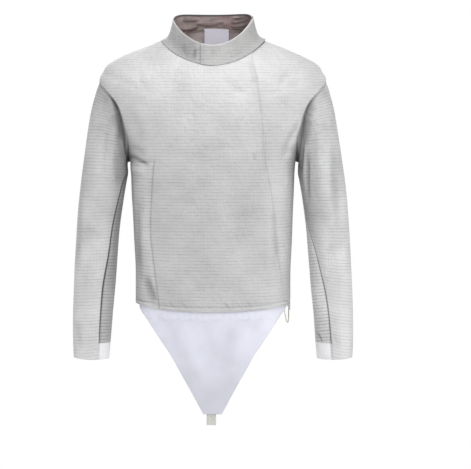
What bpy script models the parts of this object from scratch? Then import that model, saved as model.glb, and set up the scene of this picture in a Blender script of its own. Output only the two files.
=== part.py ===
"""Metallic-cloth fencing jacket with a stand collar and a crotch strap, in its worn form with no wearer.

Metres, +Z up. The wearer faces -Y, so the wearer's left is at +X. The origin is halfway between
the two points where the shoulder seams meet the collar.

The whole garment is one surface of four-sided patches, worked out from loops round the body and
sections of the arm. Each sewn piece takes its own patches and becomes a thin closed wall.
"""

import math
from collections import namedtuple

import bpy
from mathutils import Vector

# Cloth
WALL = 0.0012
COLLAR_WALL = 0.0016
SEAM_GAP = 0.0003
LYING_GAP = 0.0004
WELD = 0.000001

# At a sharp corner of a piece, the shift that makes the seam's gap goes no further than this allows
LEAST_CORNER = 0.4

# Loops round the body, from the hem up to the neckline. Each is a squared ellipse about the Z axis,
# with its own height at the front, the sides and the back. The last two columns place two lines
# that run down the front: the wearer's right side seam and the edge of the closure.
Loop = namedtuple(
    "Loop", "name z_front z_side z_back half_width front back squareness seam_x closure_x"
)
BODY = [
    Loop("hem", -0.582, -0.571, -0.582, 0.1705, 0.112, 0.108, 2.30, 0.1145, 0.155),
    Loop("hip", -0.500, -0.499, -0.500, 0.1708, 0.112, 0.106, 2.30, 0.1238, 0.1455),
    Loop("waist", -0.420, -0.420, -0.420, 0.1738, 0.113, 0.104, 2.30, 0.1325, 0.1372),
    Loop("ribs", -0.341, -0.341, -0.341, 0.1772, 0.117, 0.108, 2.35, 0.1305, 0.1275),
    Loop("armpit", -0.262, -0.262, -0.262, 0.1815, 0.121, 0.116, 2.35, 0.1245, 0.1130),
    Loop("low armhole", -0.235, -0.215, -0.225, 0.1950, 0.122, 0.121, 2.30, 0.1240, 0.1090),
    Loop("chest", -0.205, -0.172, -0.185, 0.2170, 0.1215, 0.124, 2.20, 0.1230, 0.1075),
    Loop("high armhole", -0.172, -0.125, -0.140, 0.2380, 0.1195, 0.124, 2.10, 0.1210, 0.1045),
    Loop("shoulder tip", -0.145, -0.086, -0.105, 0.2475, 0.116, 0.121, 2.05, 0.1180, 0.1005),
    Loop("shoulder 1", -0.133, -0.068, -0.090, 0.2400, 0.114, 0.118, 2.00, 0.1150, 0.0985),
    Loop("shoulder 2", -0.122, -0.052, -0.075, 0.2290, 0.1115, 0.114, 2.00, 0.1110, 0.0965),
    Loop("shoulder 3", -0.102, -0.0345, -0.047, 0.1985, 0.106, 0.106, 2.00, 0.1010, 0.0945),
    Loop("shoulder 4", -0.084, -0.0205, -0.020, 0.1650, 0.0995, 0.098, 2.00, 0.0910, 0.0900),
    Loop("shoulder 5", -0.070, -0.0095, 0.003, 0.1390, 0.0925, 0.089, 2.00, 0.0810, 0.0865),
    Loop("neckline", -0.0555, 0.0010, 0.029, 0.1125, 0.084, 0.078, 2.00, 0.0710, 0.0840),
]
ARMPIT = 4
SHOULDER_TIP = 8
NECKLINE = 14

# Loops of the stand collar, from the neckline to its rim
COLLAR = [
    BODY[NECKLINE],
    Loop("flare", -0.048, 0.008, 0.036, 0.0990, 0.0800, 0.0765, 2.00, 0.0640, 0.0770),
    Loop("middle", -0.033, 0.024, 0.047, 0.0920, 0.0750, 0.0735, 2.00, 0.0590, 0.0720),
    Loop("rim", -0.0125, 0.0445, 0.0607, 0.0870, 0.0700, 0.0700, 2.00, 0.0560, 0.0680),
]
COLLAR_SEAM_X = -0.026
COLLAR_ROWS = 4

# The armhole opens between the armpit and the shoulder tip. At its middle it has turned this far
# forward and back from the side of the body.
ARMHOLE_FRONT = math.radians(28)
ARMHOLE_BACK = math.radians(24)
ARMHOLE_STEPS = 12
BACK_SEAM = math.radians(130)

# Columns of the body's grid. The front half's go from the wearer's right side to the side panel's
# seam, the collar's seam, the lap's inner edge, the closure and the left side. The back half's go
# from the left side to the two back seams and the right side.
FRONT_COUNTS = (5, 4, 8, 1, 5)
BACK_COUNTS = (4, 16, 4)
SEAM_COLUMN = FRONT_COUNTS[0]
COLLAR_SEAM_COLUMN = sum(FRONT_COUNTS[:2])
LAP_COLUMN = sum(FRONT_COUNTS[:3])
CLOSURE_COLUMN = sum(FRONT_COUNTS[:4])
FRONT_COLUMNS = sum(FRONT_COUNTS)
BACK_COLUMNS = sum(BACK_COUNTS)

# The front panel laps over the left front by this much. The left front hangs lower at its side.
LAP = 0.012
LEFT_HEM_DROP = 0.019
LEFT_HEM_DROP_LOOPS = 1.0

# Sections of the arm, from the shoulder to the cuff, for both sleeves. Outer and inner are the two
# ends of a section seen from the front. Seam angles are in degrees, turning from the outer side
# over the front: the front seam of each sleeve, and the back seam of both.
Section = namedtuple(
    "Section", "name outer_x outer_z inner_x inner_z y depth right_seam left_seam back_seam"
)
ARM = [
    Section("cap", 0.2655, -0.150, 0.1835, -0.283, 0.000, 0.0665, 174, 174, 234),
    Section("upper arm", 0.2805, -0.243, 0.1895, -0.305, 0.000, 0.0680, 172, 172, 234),
    Section("bicep", 0.2895, -0.305, 0.1965, -0.345, 0.000, 0.0660, 166, 166, 235),
    Section("above elbow", 0.2965, -0.375, 0.2040, -0.402, -0.002, 0.0610, 151, 158, 238),
    Section("elbow", 0.3015, -0.450, 0.2095, -0.466, -0.006, 0.0560, 130, 131, 241),
    Section("forearm", 0.3050, -0.520, 0.2145, -0.531, -0.011, 0.0510, 119, 114, 243),
    Section("low forearm", 0.3073, -0.590, 0.2205, -0.596, -0.017, 0.0460, 118, 106, 245),
    Section("patch", 0.3073, -0.655, 0.2248, -0.657, -0.021, 0.0430, 118, 102, 246),
    Section("cuff", 0.3060, -0.694, 0.2277, -0.6965, -0.023, 0.0415, 118, 101, 246),
]
SLEEVE_COLUMNS = 2 * ARMHOLE_STEPS
FRONT_SEAM_COLUMN = 11
BACK_SEAM_COLUMN = 16
PATCH_SECTION = 8

# Rows of the crotch panel, from where it is sewn inside the front hem down to its tip
CrotchRow = namedtuple("CrotchRow", "name z half_width pull_back")
CROTCH = [
    CrotchRow("sewn edge", -0.556, 0.1450, 0.000),
    CrotchRow("hem", -0.578, 0.1500, 0.000),
    CrotchRow("top", -0.600, 0.1370, 0.0005),
    CrotchRow("upper", -0.640, 0.1120, 0.002),
    CrotchRow("middle", -0.6775, 0.0900, 0.004),
    CrotchRow("lower", -0.715, 0.0690, 0.007),
    CrotchRow("low", -0.745, 0.0520, 0.010),
    CrotchRow("tip", -0.8060, 0.0197, 0.017),
]
CROTCH_COLUMNS = 14
# It hangs this far inside the hem loop: under the front's wall, and clear of its bends
BEND_CLEARANCE = 0.0009
CROTCH_INSET = WALL + LYING_GAP + BEND_CLEARANCE


# Webbing tab, and the label inside the back of the neck
TAB_WIDTH = 0.019
TAB_THICKNESS = 0.0018
TAB_X = -0.0027
TAB_TOP = -0.792
TAB_BOTTOM = -0.8295
LABEL_WIDTH = 0.0532
LABEL_HEIGHT = 0.040
LABEL_X = 0.0074
LABEL_RISE = 0.0015
LABEL_THICKNESS = 0.0010
LABEL_ROWS = 2
LABEL_COLUMNS = 4
LABEL_INSET = COLLAR_WALL + WALL + 4 * LYING_GAP

# The hem loop's route: how far each point is inside the left front's wall, and where
LoopPoint = namedtuple("LoopPoint", "name x z inside")
LOOP_DIAMETER = 0.0024
LOOP_ROUTE = [
    LoopPoint("front end", 0.1535, -0.5620, 0.0005),
    LoopPoint("front hem", 0.1545, -0.5770, 0.0008),
    LoopPoint("front side", 0.1580, -0.5960, 0.0014),
    LoopPoint("front bend", 0.1612, -0.6105, 0.0014),
    LoopPoint("bottom", 0.1641, -0.6150, 0.0014),
    LoopPoint("back bend", 0.1660, -0.6090, 0.0014),
    LoopPoint("back side", 0.1668, -0.5980, 0.0014),
    LoopPoint("back hem", 0.1670, -0.5840, 0.0012),
    LoopPoint("back end", 0.1668, -0.5680, 0.0010),
]

# Colour, roughness and metallic value of each material
SHARP_ANGLE = math.radians(40)
Finish = namedtuple("Finish", "name colour roughness metallic")
LAME = Finish("silver lame cloth", (0.56, 0.56, 0.57), 0.55, 0.35)
LAME_SHADE = Finish("silver lame cloth, under sleeve", (0.42, 0.42, 0.43), 0.6, 0.3)
LINING = Finish("taupe lining", (0.25, 0.20, 0.19), 0.8, 0.0)
WHITE_CLOTH = Finish("white satin cloth", (0.72, 0.73, 0.83), 0.45, 0.0)
LABEL_CLOTH = Finish("white label tape", (0.80, 0.80, 0.82), 0.7, 0.0)
WEBBING = Finish("grey webbing", (0.56, 0.57, 0.54), 0.8, 0.0)
CORD = Finish("cream cord", (0.72, 0.68, 0.58), 0.8, 0.0)


def clear_scene():
    for obj in list(bpy.data.objects):
        bpy.data.objects.remove(obj)


def material_of(finish):
    found = bpy.data.materials.get(finish.name)
    if found:
        return found
    material = bpy.data.materials.new(finish.name)
    material.use_nodes = True
    shader = material.node_tree.nodes["Principled BSDF"]
    shader.inputs["Base Color"].default_value = (*finish.colour, 1.0)
    shader.inputs["Roughness"].default_value = finish.roughness
    shader.inputs["Metallic"].default_value = finish.metallic
    return material


def cubic(before, start, end, after, t):
    """Value at t between start and end, on a cubic through all four values."""
    bend = 3 * (start - end) + after - before
    curve = 2 * before - 5 * start + 4 * end - after
    return start + 0.5 * t * (end - before + t * (curve + t * bend))


def between(values, at):
    """Value at a fractional index of a list, smooth through its entries."""
    last = len(values) - 1
    i = min(int(at), last - 1)
    near = [values[min(max(k, 0), last)] for k in range(i - 1, i + 3)]
    return cubic(*near, at - i)


def loop_at(table, at):
    """The loop at a fractional row of a table."""
    fields = Loop._fields[1:]
    return Loop("between", *(between([getattr(row, f) for row in table], at) for f in fields))


def power(value, exponent):
    return math.copysign(abs(value) ** exponent, value)


def smoothstep(value):
    t = min(max(value, 0.0), 1.0)
    return t * t * (3 - 2 * t)


def angle_at(loop, x):
    """Angle from the front, towards +X, of the point of a loop's front half with this x."""
    return math.asin(power(x / loop.half_width, loop.squareness / 2))


def loop_point(loop, angle):
    """Point of a loop. Angle 0 is the front, and it grows towards the wearer's left."""
    sine, cosine = math.sin(angle), math.cos(angle)
    depth = loop.front if cosine > 0 else loop.back
    z_middle = loop.z_front if cosine > 0 else loop.z_back
    x = loop.half_width * power(sine, 2 / loop.squareness)
    y = -depth * power(cosine, 2 / loop.squareness)
    z = z_middle + (loop.z_side - z_middle) * sine * sine
    return Vector((x, y, z))


def left_hem_drop(loop, angle):
    """How far the left front's hem hangs below the loop: most at the side, none at its two seams."""
    start = angle_at(loop, loop.closure_x)
    side = math.pi / 2
    if angle <= side:
        return LEFT_HEM_DROP * smoothstep((angle - start) / (side - start))
    return LEFT_HEM_DROP * smoothstep((BACK_SEAM - angle) / (BACK_SEAM - side))


def body_point(at, angle):
    loop = loop_at(BODY, at)
    point = loop_point(loop, angle)
    if at < LEFT_HEM_DROP_LOOPS and 0 < angle < BACK_SEAM:
        point.z -= left_hem_drop(loop, angle) * (1 - at / LEFT_HEM_DROP_LOOPS)
    return point


def armhole_row(turn):
    """Row of the body at a turn round the armhole: 0 at the armpit, pi at the shoulder tip."""
    even = turn / math.pi
    crowded = (1 - math.cos(turn)) / 2
    return ARMPIT + (SHOULDER_TIP - ARMPIT) * (even + crowded) / 2


def side_angles(turn=0.0):
    """Angles at which the body's front and back halves end on each side: 90 degrees off the armhole."""
    opening = math.sin(turn)
    return math.pi / 2 - ARMHOLE_FRONT * opening, math.pi / 2 + ARMHOLE_BACK * opening


def spread(anchors, counts):
    """Evenly spaced values from each anchor to the next."""
    values = [anchors[0]]
    for start, end, count in zip(anchors, anchors[1:], counts):
        values += [start + (end - start) * (k + 1) / count for k in range(count)]
    return values


def front_angles(loop, side):
    closure = angle_at(loop, loop.closure_x)
    lap = angle_at(loop, loop.closure_x - LAP)
    anchors = (
        -side, -angle_at(loop, loop.seam_x), angle_at(loop, COLLAR_SEAM_X), lap, closure, side,
    )
    return spread(anchors, FRONT_COUNTS)


def back_angles(side):
    return spread((side, BACK_SEAM, 2 * math.pi - BACK_SEAM, 2 * math.pi - side), BACK_COUNTS)


def body_rows():
    """Rows of the body's grid, each with its turn round the armhole, from the hem to the neckline."""
    below = [(k / 2, 0.0) for k in range(2 * ARMPIT)]
    turns = [math.pi * k / ARMHOLE_STEPS for k in range(ARMHOLE_STEPS)]
    beside = [(armhole_row(turn), turn) for turn in turns]
    shoulder = [(SHOULDER_TIP + k / 2, 0.0) for k in range(6)]
    above = [(row, 0.0) for row in range(SHOULDER_TIP + 3, NECKLINE + 1)]
    return below + beside + shoulder + above


def body_halves():
    """Grids of points of the front half and the back half of the body, row by row."""
    front, back = [], []
    for at, turn in body_rows():
        front_side, back_side = side_angles(turn)
        loop = loop_at(BODY, at)
        front.append([body_point(at, a) for a in front_angles(loop, front_side)])
        back.append([body_point(at, a) for a in back_angles(back_side)])
    return front, back


def collar_halves():
    """Grids of points of the collar's front half and back half, from the neckline up."""
    front, back = [], []
    side = math.pi / 2
    for row in range(COLLAR_ROWS + 1):
        loop = loop_at(COLLAR, row * (len(COLLAR) - 1) / COLLAR_ROWS)
        front.append([loop_point(loop, a) for a in front_angles(loop, side)])
        back.append([loop_point(loop, a) for a in back_angles(side)])
    return front, back


def patches(grid, rows, columns):
    """Four-sided patches of a grid, over a range of its rows and of its columns."""
    return [
        (grid[r][c], grid[r][c + 1], grid[r + 1][c + 1], grid[r + 1][c])
        for r in range(*rows)
        for c in range(*columns)
    ]


def armhole_point(column):
    """Point of the left armhole: column 0 at the shoulder tip, then down the front."""
    turn = math.pi * (1 - column / ARMHOLE_STEPS)
    at = armhole_row(abs(turn))
    front_side, back_side = side_angles(abs(turn))
    return body_point(at, front_side if turn > 0 else back_side)


def sleeve_angle(section, seam, column):
    """Angle round a section for a column, so that both seams keep to columns of their own."""
    anchors = (0, seam, section.back_seam, 360)
    columns = (0, FRONT_SEAM_COLUMN, BACK_SEAM_COLUMN, SLEEVE_COLUMNS)
    for k in range(3):
        if column <= columns[k + 1]:
            share = (column - columns[k]) / (columns[k + 1] - columns[k])
            return math.radians(anchors[k] + (anchors[k + 1] - anchors[k]) * share)
    return math.tau


def section_point(section, seam, column):
    angle = sleeve_angle(section, seam, column)
    outer = Vector((section.outer_x, section.y, section.outer_z))
    inner = Vector((section.inner_x, section.y, section.inner_z))
    depth = Vector((0, -section.depth, 0))
    return (outer + inner) / 2 + (outer - inner) / 2 * math.cos(angle) + depth * math.sin(angle)


def sleeve_rings():
    """Fractional sections at which the sleeve has a ring, from the armhole to the cuff."""
    cap = [k / 4 for k in range(8)]
    arm = [2 + k / 2 for k in range(2 * (PATCH_SECTION - 2))]
    return cap + arm + [PATCH_SECTION, PATCH_SECTION + 1]


def sleeve_grid(side):
    """Grid of a sleeve, ring by ring from the armhole down. Side is -1 for the wearer's right."""
    columns = []
    for column in range(SLEEVE_COLUMNS + 1):
        wrapped = column % SLEEVE_COLUMNS
        path = [armhole_point(wrapped)]
        for section in ARM:
            seam = section.left_seam if side > 0 else section.right_seam
            path.append(section_point(section, seam, wrapped))
        columns.append(path)
    mirror = Vector((side, 1, 1))
    return [
        [between(path, at) * mirror if side < 0 else between(path, at) for path in columns]
        for at in sleeve_rings()
    ]


class Garment:
    """Sewn pieces, each a set of patches that share their corners at the seams.

    Pieces of one surface, such as the body or an arm, have the same way out at their seam. Where
    two surfaces meet, as at an armhole, they share it only at a ridge, and so make a mitre there.
    """

    def __init__(self):
        self.points = []
        self.index = {}
        self.faces = []
        self.surface_of = {}
        self.lifts = {}

    def corner(self, point):
        key = tuple(round(value / WELD) for value in point)
        if key not in self.index:
            self.index[key] = len(self.points)
            self.points.append(point)
        return self.index[key]

    def add(self, surface, piece, quads, flipped=False):
        """Give patches to a piece, each split along its shorter diagonal."""
        self.surface_of[piece] = surface
        for quad in quads:
            a, b, c, d = (self.corner(p) for p in quad)
            if (quad[0] - quad[2]).length > (quad[1] - quad[3]).length:
                a, b, c, d = b, c, d, a
            for corners in ((a, b, c), (a, c, d)):
                if len(set(corners)) == 3:
                    self.faces.append((piece, corners[::-1] if flipped else corners))

    def lift(self, piece, points, distance):
        """Move a piece out from the shared surface at these points."""
        for point in points:
            self.lifts[piece, self.corner(point)] = distance

    def face_normal(self, corners):
        a, b, c = (self.points[i] for i in corners)
        return (b - a).cross(c - a)

    def centre(self, corners):
        return sum((self.points[i] for i in corners), Vector()) / len(corners)

    def normal(self, piece, corner, around):
        """Which way out is, at a corner of a piece with these faces around it."""
        surface = self.surface_of[piece]
        own = [f for f in around if self.surface_of[f[0]] == surface]
        others = [f for f in around if self.surface_of[f[0]] != surface]
        own_normal = sum((self.face_normal(f[1]) for f in own), Vector()).normalized()
        if not others:
            return own_normal
        other_normal = sum((self.face_normal(f[1]) for f in others), Vector()).normalized()
        own_centre = sum((self.centre(f[1]) for f in own), Vector()) / len(own)
        other_centre = sum((self.centre(f[1]) for f in others), Vector()) / len(others)
        if (other_normal - own_normal).dot(other_centre - own_centre) > 0:
            return (own_normal + other_normal).normalized()
        return own_normal

    def inward(self, edge, corners):
        """Direction in the surface from an edge into its own patch."""
        start, end = (self.points[i] for i in edge)
        along = (end - start).normalized()
        towards = self.centre(corners) - (start + end) / 2
        return (towards - along * towards.dot(along)).normalized()

    def wall(self, piece, thickness):
        """Points and faces of a piece as a closed wall, half a seam's gap in from each edge."""
        own = [corners for name, corners in self.faces if name == piece]
        around = {}
        for face in self.faces:
            for corner in face[1]:
                around.setdefault(corner, []).append(face)
        edges = {}
        for corners in own:
            for edge in zip(corners, corners[1:] + corners[:1]):
                edges[edge] = corners
        border = {e: c for e, c in edges.items() if (e[1], e[0]) not in edges}
        shifts = {}
        for edge, corners in border.items():
            for corner in edge:
                shifts.setdefault(corner, []).append(self.inward(edge, corners))
        used = sorted({corner for corners in own for corner in corners})
        place = {corner: i for i, corner in enumerate(used)}
        outer, inner = [], []
        for corner in used:
            out = self.normal(piece, corner, around[corner])
            point = self.points[corner] + out * self.lifts.get((piece, corner), 0.0)
            ways = shifts.get(corner, [])
            if ways:
                opening = max(1 + ways[0].dot(ways[-1]), LEAST_CORNER)
                point = point + (ways[0] + ways[-1]) * (SEAM_GAP / 2 / opening)
            outer.append(point)
            inner.append(point - out * thickness)
        faces = [tuple(place[i] for i in corners) for corners in own]
        count = len(used)
        faces += [tuple(i + count for i in reversed(f)) for f in faces]
        for start, end in border:
            a, b = place[start], place[end]
            faces.append((b, a, a + count, b + count))
        return outer + inner, faces


def mesh_object(name, points, faces, finish):
    mesh = bpy.data.meshes.new(name)
    mesh.from_pydata([tuple(p) for p in points], [], faces)
    mesh.materials.append(material_of(finish))
    mesh.shade_smooth()
    mesh.set_sharp_from_angle(angle=SHARP_ANGLE)
    mesh.update()
    obj = bpy.data.objects.new(name, mesh)
    bpy.context.scene.collection.objects.link(obj)
    return obj


def add_body(garment):
    front, back = body_halves()
    low = (0, 2 * ARMPIT)
    high = (2 * ARMPIT, len(front) - 1)
    whole = (0, len(front) - 1)
    seam_back = BACK_COLUMNS - BACK_COUNTS[2]
    garment.add("body", "front_panel", patches(front, low, (SEAM_COLUMN, CLOSURE_COLUMN)))
    garment.add("body", "front_panel", patches(front, high, (0, CLOSURE_COLUMN)))
    garment.add("body", "left_front_panel", patches(front, whole, (LAP_COLUMN, FRONT_COLUMNS)))
    garment.add("body", "left_front_panel", patches(back, low, (0, BACK_COUNTS[0])))
    garment.add("body", "right_side_panel", patches(front, low, (0, SEAM_COLUMN)))
    garment.add("body", "right_side_panel", patches(back, low, (seam_back, BACK_COLUMNS)))
    garment.add("body", "back_panel", patches(back, low, (BACK_COUNTS[0], seam_back)))
    garment.add("body", "back_panel", patches(back, high, (0, BACK_COLUMNS)))
    for row in front:
        garment.lift("front_panel", row[LAP_COLUMN:CLOSURE_COLUMN + 1], WALL + LYING_GAP)


def add_collar(garment):
    front, back = collar_halves()
    whole = (0, COLLAR_ROWS)
    garment.add("collar", "collar", patches(front, whole, (0, COLLAR_SEAM_COLUMN)))
    garment.add("collar", "collar", patches(front, whole, (LAP_COLUMN, FRONT_COLUMNS)))
    garment.add("collar", "collar", patches(back, whole, (0, BACK_COLUMNS)))
    garment.add("collar", "collar_lap", patches(front, whole, (COLLAR_SEAM_COLUMN, FRONT_COLUMNS)))
    garment.add("collar", "collar_lap", patches(back, whole, (0, 1)))
    for front_row, back_row in zip(front, back):
        garment.lift("collar_lap", front_row[LAP_COLUMN:], COLLAR_WALL + LYING_GAP)
        garment.lift("collar_lap", back_row[:2], COLLAR_WALL + LYING_GAP)


def add_sleeves(garment):
    rings = sleeve_rings()
    patch_ring = rings.index(PATCH_SECTION)
    last = len(rings) - 1
    under = (FRONT_SEAM_COLUMN, BACK_SEAM_COLUMN)
    for side, word in ((-1, "right"), (1, "left")):
        grid = sleeve_grid(side)
        flipped = side < 0
        arm = f"{word} arm"
        front = patches(grid, (0, last), (0, under[0]))
        back = patches(grid, (0, last), (under[1], SLEEVE_COLUMNS))
        garment.add(arm, f"{word}_sleeve", front + back, flipped)
        garment.add(arm, f"{word}_under_sleeve", patches(grid, (0, patch_ring), under), flipped)
        garment.add(arm, f"{word}_cuff_patch", patches(grid, (patch_ring, last), under), flipped)


def add_facing(garment):
    """The strip that lines the collar, with its ends meeting where the collar is lapped."""
    front, back = collar_halves()
    whole = (0, COLLAR_ROWS)
    garment.add("facing", "collar_facing", patches(front, whole, (0, LAP_COLUMN)))
    garment.add("facing", "collar_facing", patches(front, whole, (CLOSURE_COLUMN, FRONT_COLUMNS)))
    garment.add("facing", "collar_facing", patches(back, whole, (0, BACK_COLUMNS)))
    for row in front + back:
        garment.lift("collar_facing", row, -COLLAR_WALL - LYING_GAP)


def crotch_front(x):
    """Depth at this x of a loop that lies just inside the front hem."""
    hem = BODY[0]
    inside = hem._replace(half_width=hem.half_width - CROTCH_INSET, front=hem.front - CROTCH_INSET)
    return loop_point(inside, angle_at(inside, x)).y


def add_crotch_panel(garment):
    grid = []
    last = len(CROTCH) - 1
    steps = 2 * last
    for step in range(steps + 1):
        at = last - step / 2
        z = between([row.z for row in CROTCH], at)
        half_width = between([row.half_width for row in CROTCH], at)
        pull_back = between([row.pull_back for row in CROTCH], at)
        line = []
        for column in range(CROTCH_COLUMNS + 1):
            x = half_width * (2 * column / CROTCH_COLUMNS - 1)
            line.append(Vector((x, crotch_front(x) + pull_back, z)))
        grid.append(line)
    garment.add("crotch", "crotch_panel", patches(grid, (0, steps), (0, CROTCH_COLUMNS)))


def make_plate(name, corners, thickness, finish):
    """A flat strip from four corners of its outer face, thickened towards +Y."""
    back = Vector((0, thickness, 0))
    points = [Vector(c) for c in corners]
    points += [p + back for p in points]
    faces = [(0, 1, 2, 3), (7, 6, 5, 4)]
    faces += [((k + 1) % 4, k, k + 4, (k + 1) % 4 + 4) for k in range(4)]
    return mesh_object(name, points, faces, finish)


def make_tab():
    """Webbing end of the crotch panel, sewn behind its tip."""
    tip = CROTCH[-1]
    y = crotch_front(0) + tip.pull_back + WALL + SEAM_GAP
    left, right = TAB_X - TAB_WIDTH / 2, TAB_X + TAB_WIDTH / 2
    corners = [
        (left, y, TAB_BOTTOM), (right, y, TAB_BOTTOM), (right, y, TAB_TOP), (left, y, TAB_TOP),
    ]
    make_plate("crotch_tab", corners, TAB_THICKNESS, WEBBING)


def add_label(garment):
    """The neck label, caught in the collar seam at the back and hanging straight down inside."""
    neckline = BODY[NECKLINE]
    inset = Vector((0, -LABEL_INSET, 0))
    grid = []
    for r in range(LABEL_ROWS + 1):
        drop = Vector((0, 0, LABEL_RISE - LABEL_HEIGHT * (1 - r / LABEL_ROWS)))
        line = []
        for c in range(LABEL_COLUMNS + 1):
            x = LABEL_X + LABEL_WIDTH * (c / LABEL_COLUMNS - 0.5)
            line.append(loop_point(neckline, math.pi - angle_at(neckline, x)) + inset + drop)
        grid.append(line)
    whole = patches(grid, (0, LABEL_ROWS), (0, LABEL_COLUMNS))
    garment.add("label", "neck_label", whole, flipped=True)


def make_hem_loop():
    """Small loop of cord, both ends sewn inside the hem beside the closure."""
    radius = LOOP_DIAMETER / 2
    hem = BODY[0]
    route = []
    for _, x, z, inside in LOOP_ROUTE:
        inset = WALL + inside + radius
        inner = hem._replace(half_width=hem.half_width - inset, front=hem.front - inset)
        y = loop_point(inner, angle_at(inner, min(x, inner.half_width))).y
        route.append(Vector((x, y, z)))
    curve = bpy.data.curves.new("hem_loop", "CURVE")
    curve.dimensions = "3D"
    curve.bevel_depth = radius
    curve.bevel_resolution = 2
    curve.use_fill_caps = True
    steps = 2 * (len(route) - 1)
    spline = curve.splines.new("POLY")
    spline.points.add(steps)
    for step in range(steps + 1):
        spline.points[step].co = (*between(route, step / 2), 1.0)
    curve.materials.append(material_of(CORD))
    obj = bpy.data.objects.new("hem_loop", curve)
    bpy.context.scene.collection.objects.link(obj)


def build():
    clear_scene()
    garment = Garment()
    add_body(garment)
    add_collar(garment)
    add_sleeves(garment)
    finishes = {
        "front_panel": (WALL, LAME),
        "left_front_panel": (WALL, LAME),
        "right_side_panel": (WALL, LAME),
        "back_panel": (WALL, LAME),
        "collar": (COLLAR_WALL, LAME),
        "collar_lap": (COLLAR_WALL, LAME),
        "right_sleeve": (WALL, LAME),
        "left_sleeve": (WALL, LAME),
        "right_under_sleeve": (WALL, LAME_SHADE),
        "left_under_sleeve": (WALL, LAME_SHADE),
        "right_cuff_patch": (WALL, WHITE_CLOTH),
        "left_cuff_patch": (WALL, WHITE_CLOTH),
    }
    for name, (thickness, finish) in finishes.items():
        mesh_object(name, *garment.wall(name, thickness), finish)
    for name, add_piece, thickness, finish in (
        ("collar_facing", add_facing, WALL, LINING),
        ("crotch_panel", add_crotch_panel, WALL, WHITE_CLOTH),
        ("neck_label", add_label, LABEL_THICKNESS, LABEL_CLOTH),
    ):
        alone = Garment()
        add_piece(alone)
        mesh_object(name, *alone.wall(name, thickness), finish)
    make_tab()
    make_hem_loop()


build()
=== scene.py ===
"""Looks of the metallic-cloth fencing jacket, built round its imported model.

Metres, +Z up. The wearer faces -Y, so the wearer's left is at +X. Each sewn piece is a thin shell on
the form of its solid, worked out from the same loops and sections but on a finer grid, with the
creases, seams and stitches that the cloth shows.
"""

import math
from collections import namedtuple

import bpy
import numpy as np
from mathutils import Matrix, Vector


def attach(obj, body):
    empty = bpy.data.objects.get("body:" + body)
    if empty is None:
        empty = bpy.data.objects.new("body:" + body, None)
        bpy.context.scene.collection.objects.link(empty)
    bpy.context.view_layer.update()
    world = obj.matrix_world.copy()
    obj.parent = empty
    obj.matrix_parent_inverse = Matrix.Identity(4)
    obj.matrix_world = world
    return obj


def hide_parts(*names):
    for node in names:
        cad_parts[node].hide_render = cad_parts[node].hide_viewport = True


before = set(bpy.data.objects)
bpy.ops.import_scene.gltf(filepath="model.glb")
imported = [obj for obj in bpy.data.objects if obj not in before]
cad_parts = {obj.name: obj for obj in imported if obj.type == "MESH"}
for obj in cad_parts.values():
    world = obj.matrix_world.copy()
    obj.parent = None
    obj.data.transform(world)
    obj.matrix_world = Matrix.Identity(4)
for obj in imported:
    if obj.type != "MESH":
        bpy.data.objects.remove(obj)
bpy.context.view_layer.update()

# Cloth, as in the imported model
WALL = 0.0012
COLLAR_WALL = 0.0016
LYING_GAP = 0.0004

# Loops round the body, from the hem up to the neckline. Each is a squared ellipse about the Z axis,
# with its own height at the front, the sides and the back. The last two columns place the wearer's
# right side seam and the edge of the closure.
Loop = namedtuple("Loop", "z_front z_side z_back half_width front back squareness seam_x closure_x")
BODY = np.array([
    Loop(-0.582, -0.571, -0.582, 0.1705, 0.112, 0.108, 2.30, 0.1145, 0.155),
    Loop(-0.500, -0.499, -0.500, 0.1708, 0.112, 0.106, 2.30, 0.1238, 0.1455),
    Loop(-0.420, -0.420, -0.420, 0.1738, 0.113, 0.104, 2.30, 0.1325, 0.1372),
    Loop(-0.341, -0.341, -0.341, 0.1772, 0.117, 0.108, 2.35, 0.1305, 0.1275),
    Loop(-0.262, -0.262, -0.262, 0.1815, 0.121, 0.116, 2.35, 0.1245, 0.1130),
    Loop(-0.235, -0.215, -0.225, 0.1950, 0.122, 0.121, 2.30, 0.1240, 0.1090),
    Loop(-0.205, -0.172, -0.185, 0.2170, 0.1215, 0.124, 2.20, 0.1230, 0.1075),
    Loop(-0.172, -0.125, -0.140, 0.2380, 0.1195, 0.124, 2.10, 0.1210, 0.1045),
    Loop(-0.145, -0.086, -0.105, 0.2475, 0.116, 0.121, 2.05, 0.1180, 0.1005),
    Loop(-0.133, -0.068, -0.090, 0.2400, 0.114, 0.118, 2.00, 0.1150, 0.0985),
    Loop(-0.122, -0.052, -0.075, 0.2290, 0.1115, 0.114, 2.00, 0.1110, 0.0965),
    Loop(-0.102, -0.0345, -0.047, 0.1985, 0.106, 0.106, 2.00, 0.1010, 0.0945),
    Loop(-0.084, -0.0205, -0.020, 0.1650, 0.0995, 0.098, 2.00, 0.0910, 0.0900),
    Loop(-0.070, -0.0095, 0.003, 0.1390, 0.0925, 0.089, 2.00, 0.0810, 0.0865),
    Loop(-0.0555, 0.0010, 0.029, 0.1125, 0.084, 0.078, 2.00, 0.0710, 0.0840),
])
ARMPIT = 4
SHOULDER_TIP = 8
NECKLINE = 14
COLLAR = np.array([
    BODY[NECKLINE],
    Loop(-0.048, 0.008, 0.036, 0.0990, 0.0800, 0.0765, 2.00, 0.0640, 0.0770),
    Loop(-0.033, 0.024, 0.047, 0.0920, 0.0750, 0.0735, 2.00, 0.0590, 0.0720),
    Loop(-0.0125, 0.0445, 0.0607, 0.0870, 0.0700, 0.0700, 2.00, 0.0560, 0.0680),
])
COLLAR_SEAM_X = -0.026
ARMHOLE_FRONT = math.radians(28)
ARMHOLE_BACK = math.radians(24)
BACK_SEAM = math.radians(130)
LAP = 0.012
LEFT_HEM_DROP = 0.019
NECK_CURVE = 1.67
RIM_RISE = 0.003
ARMHOLE_FLARE = 0.8
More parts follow.
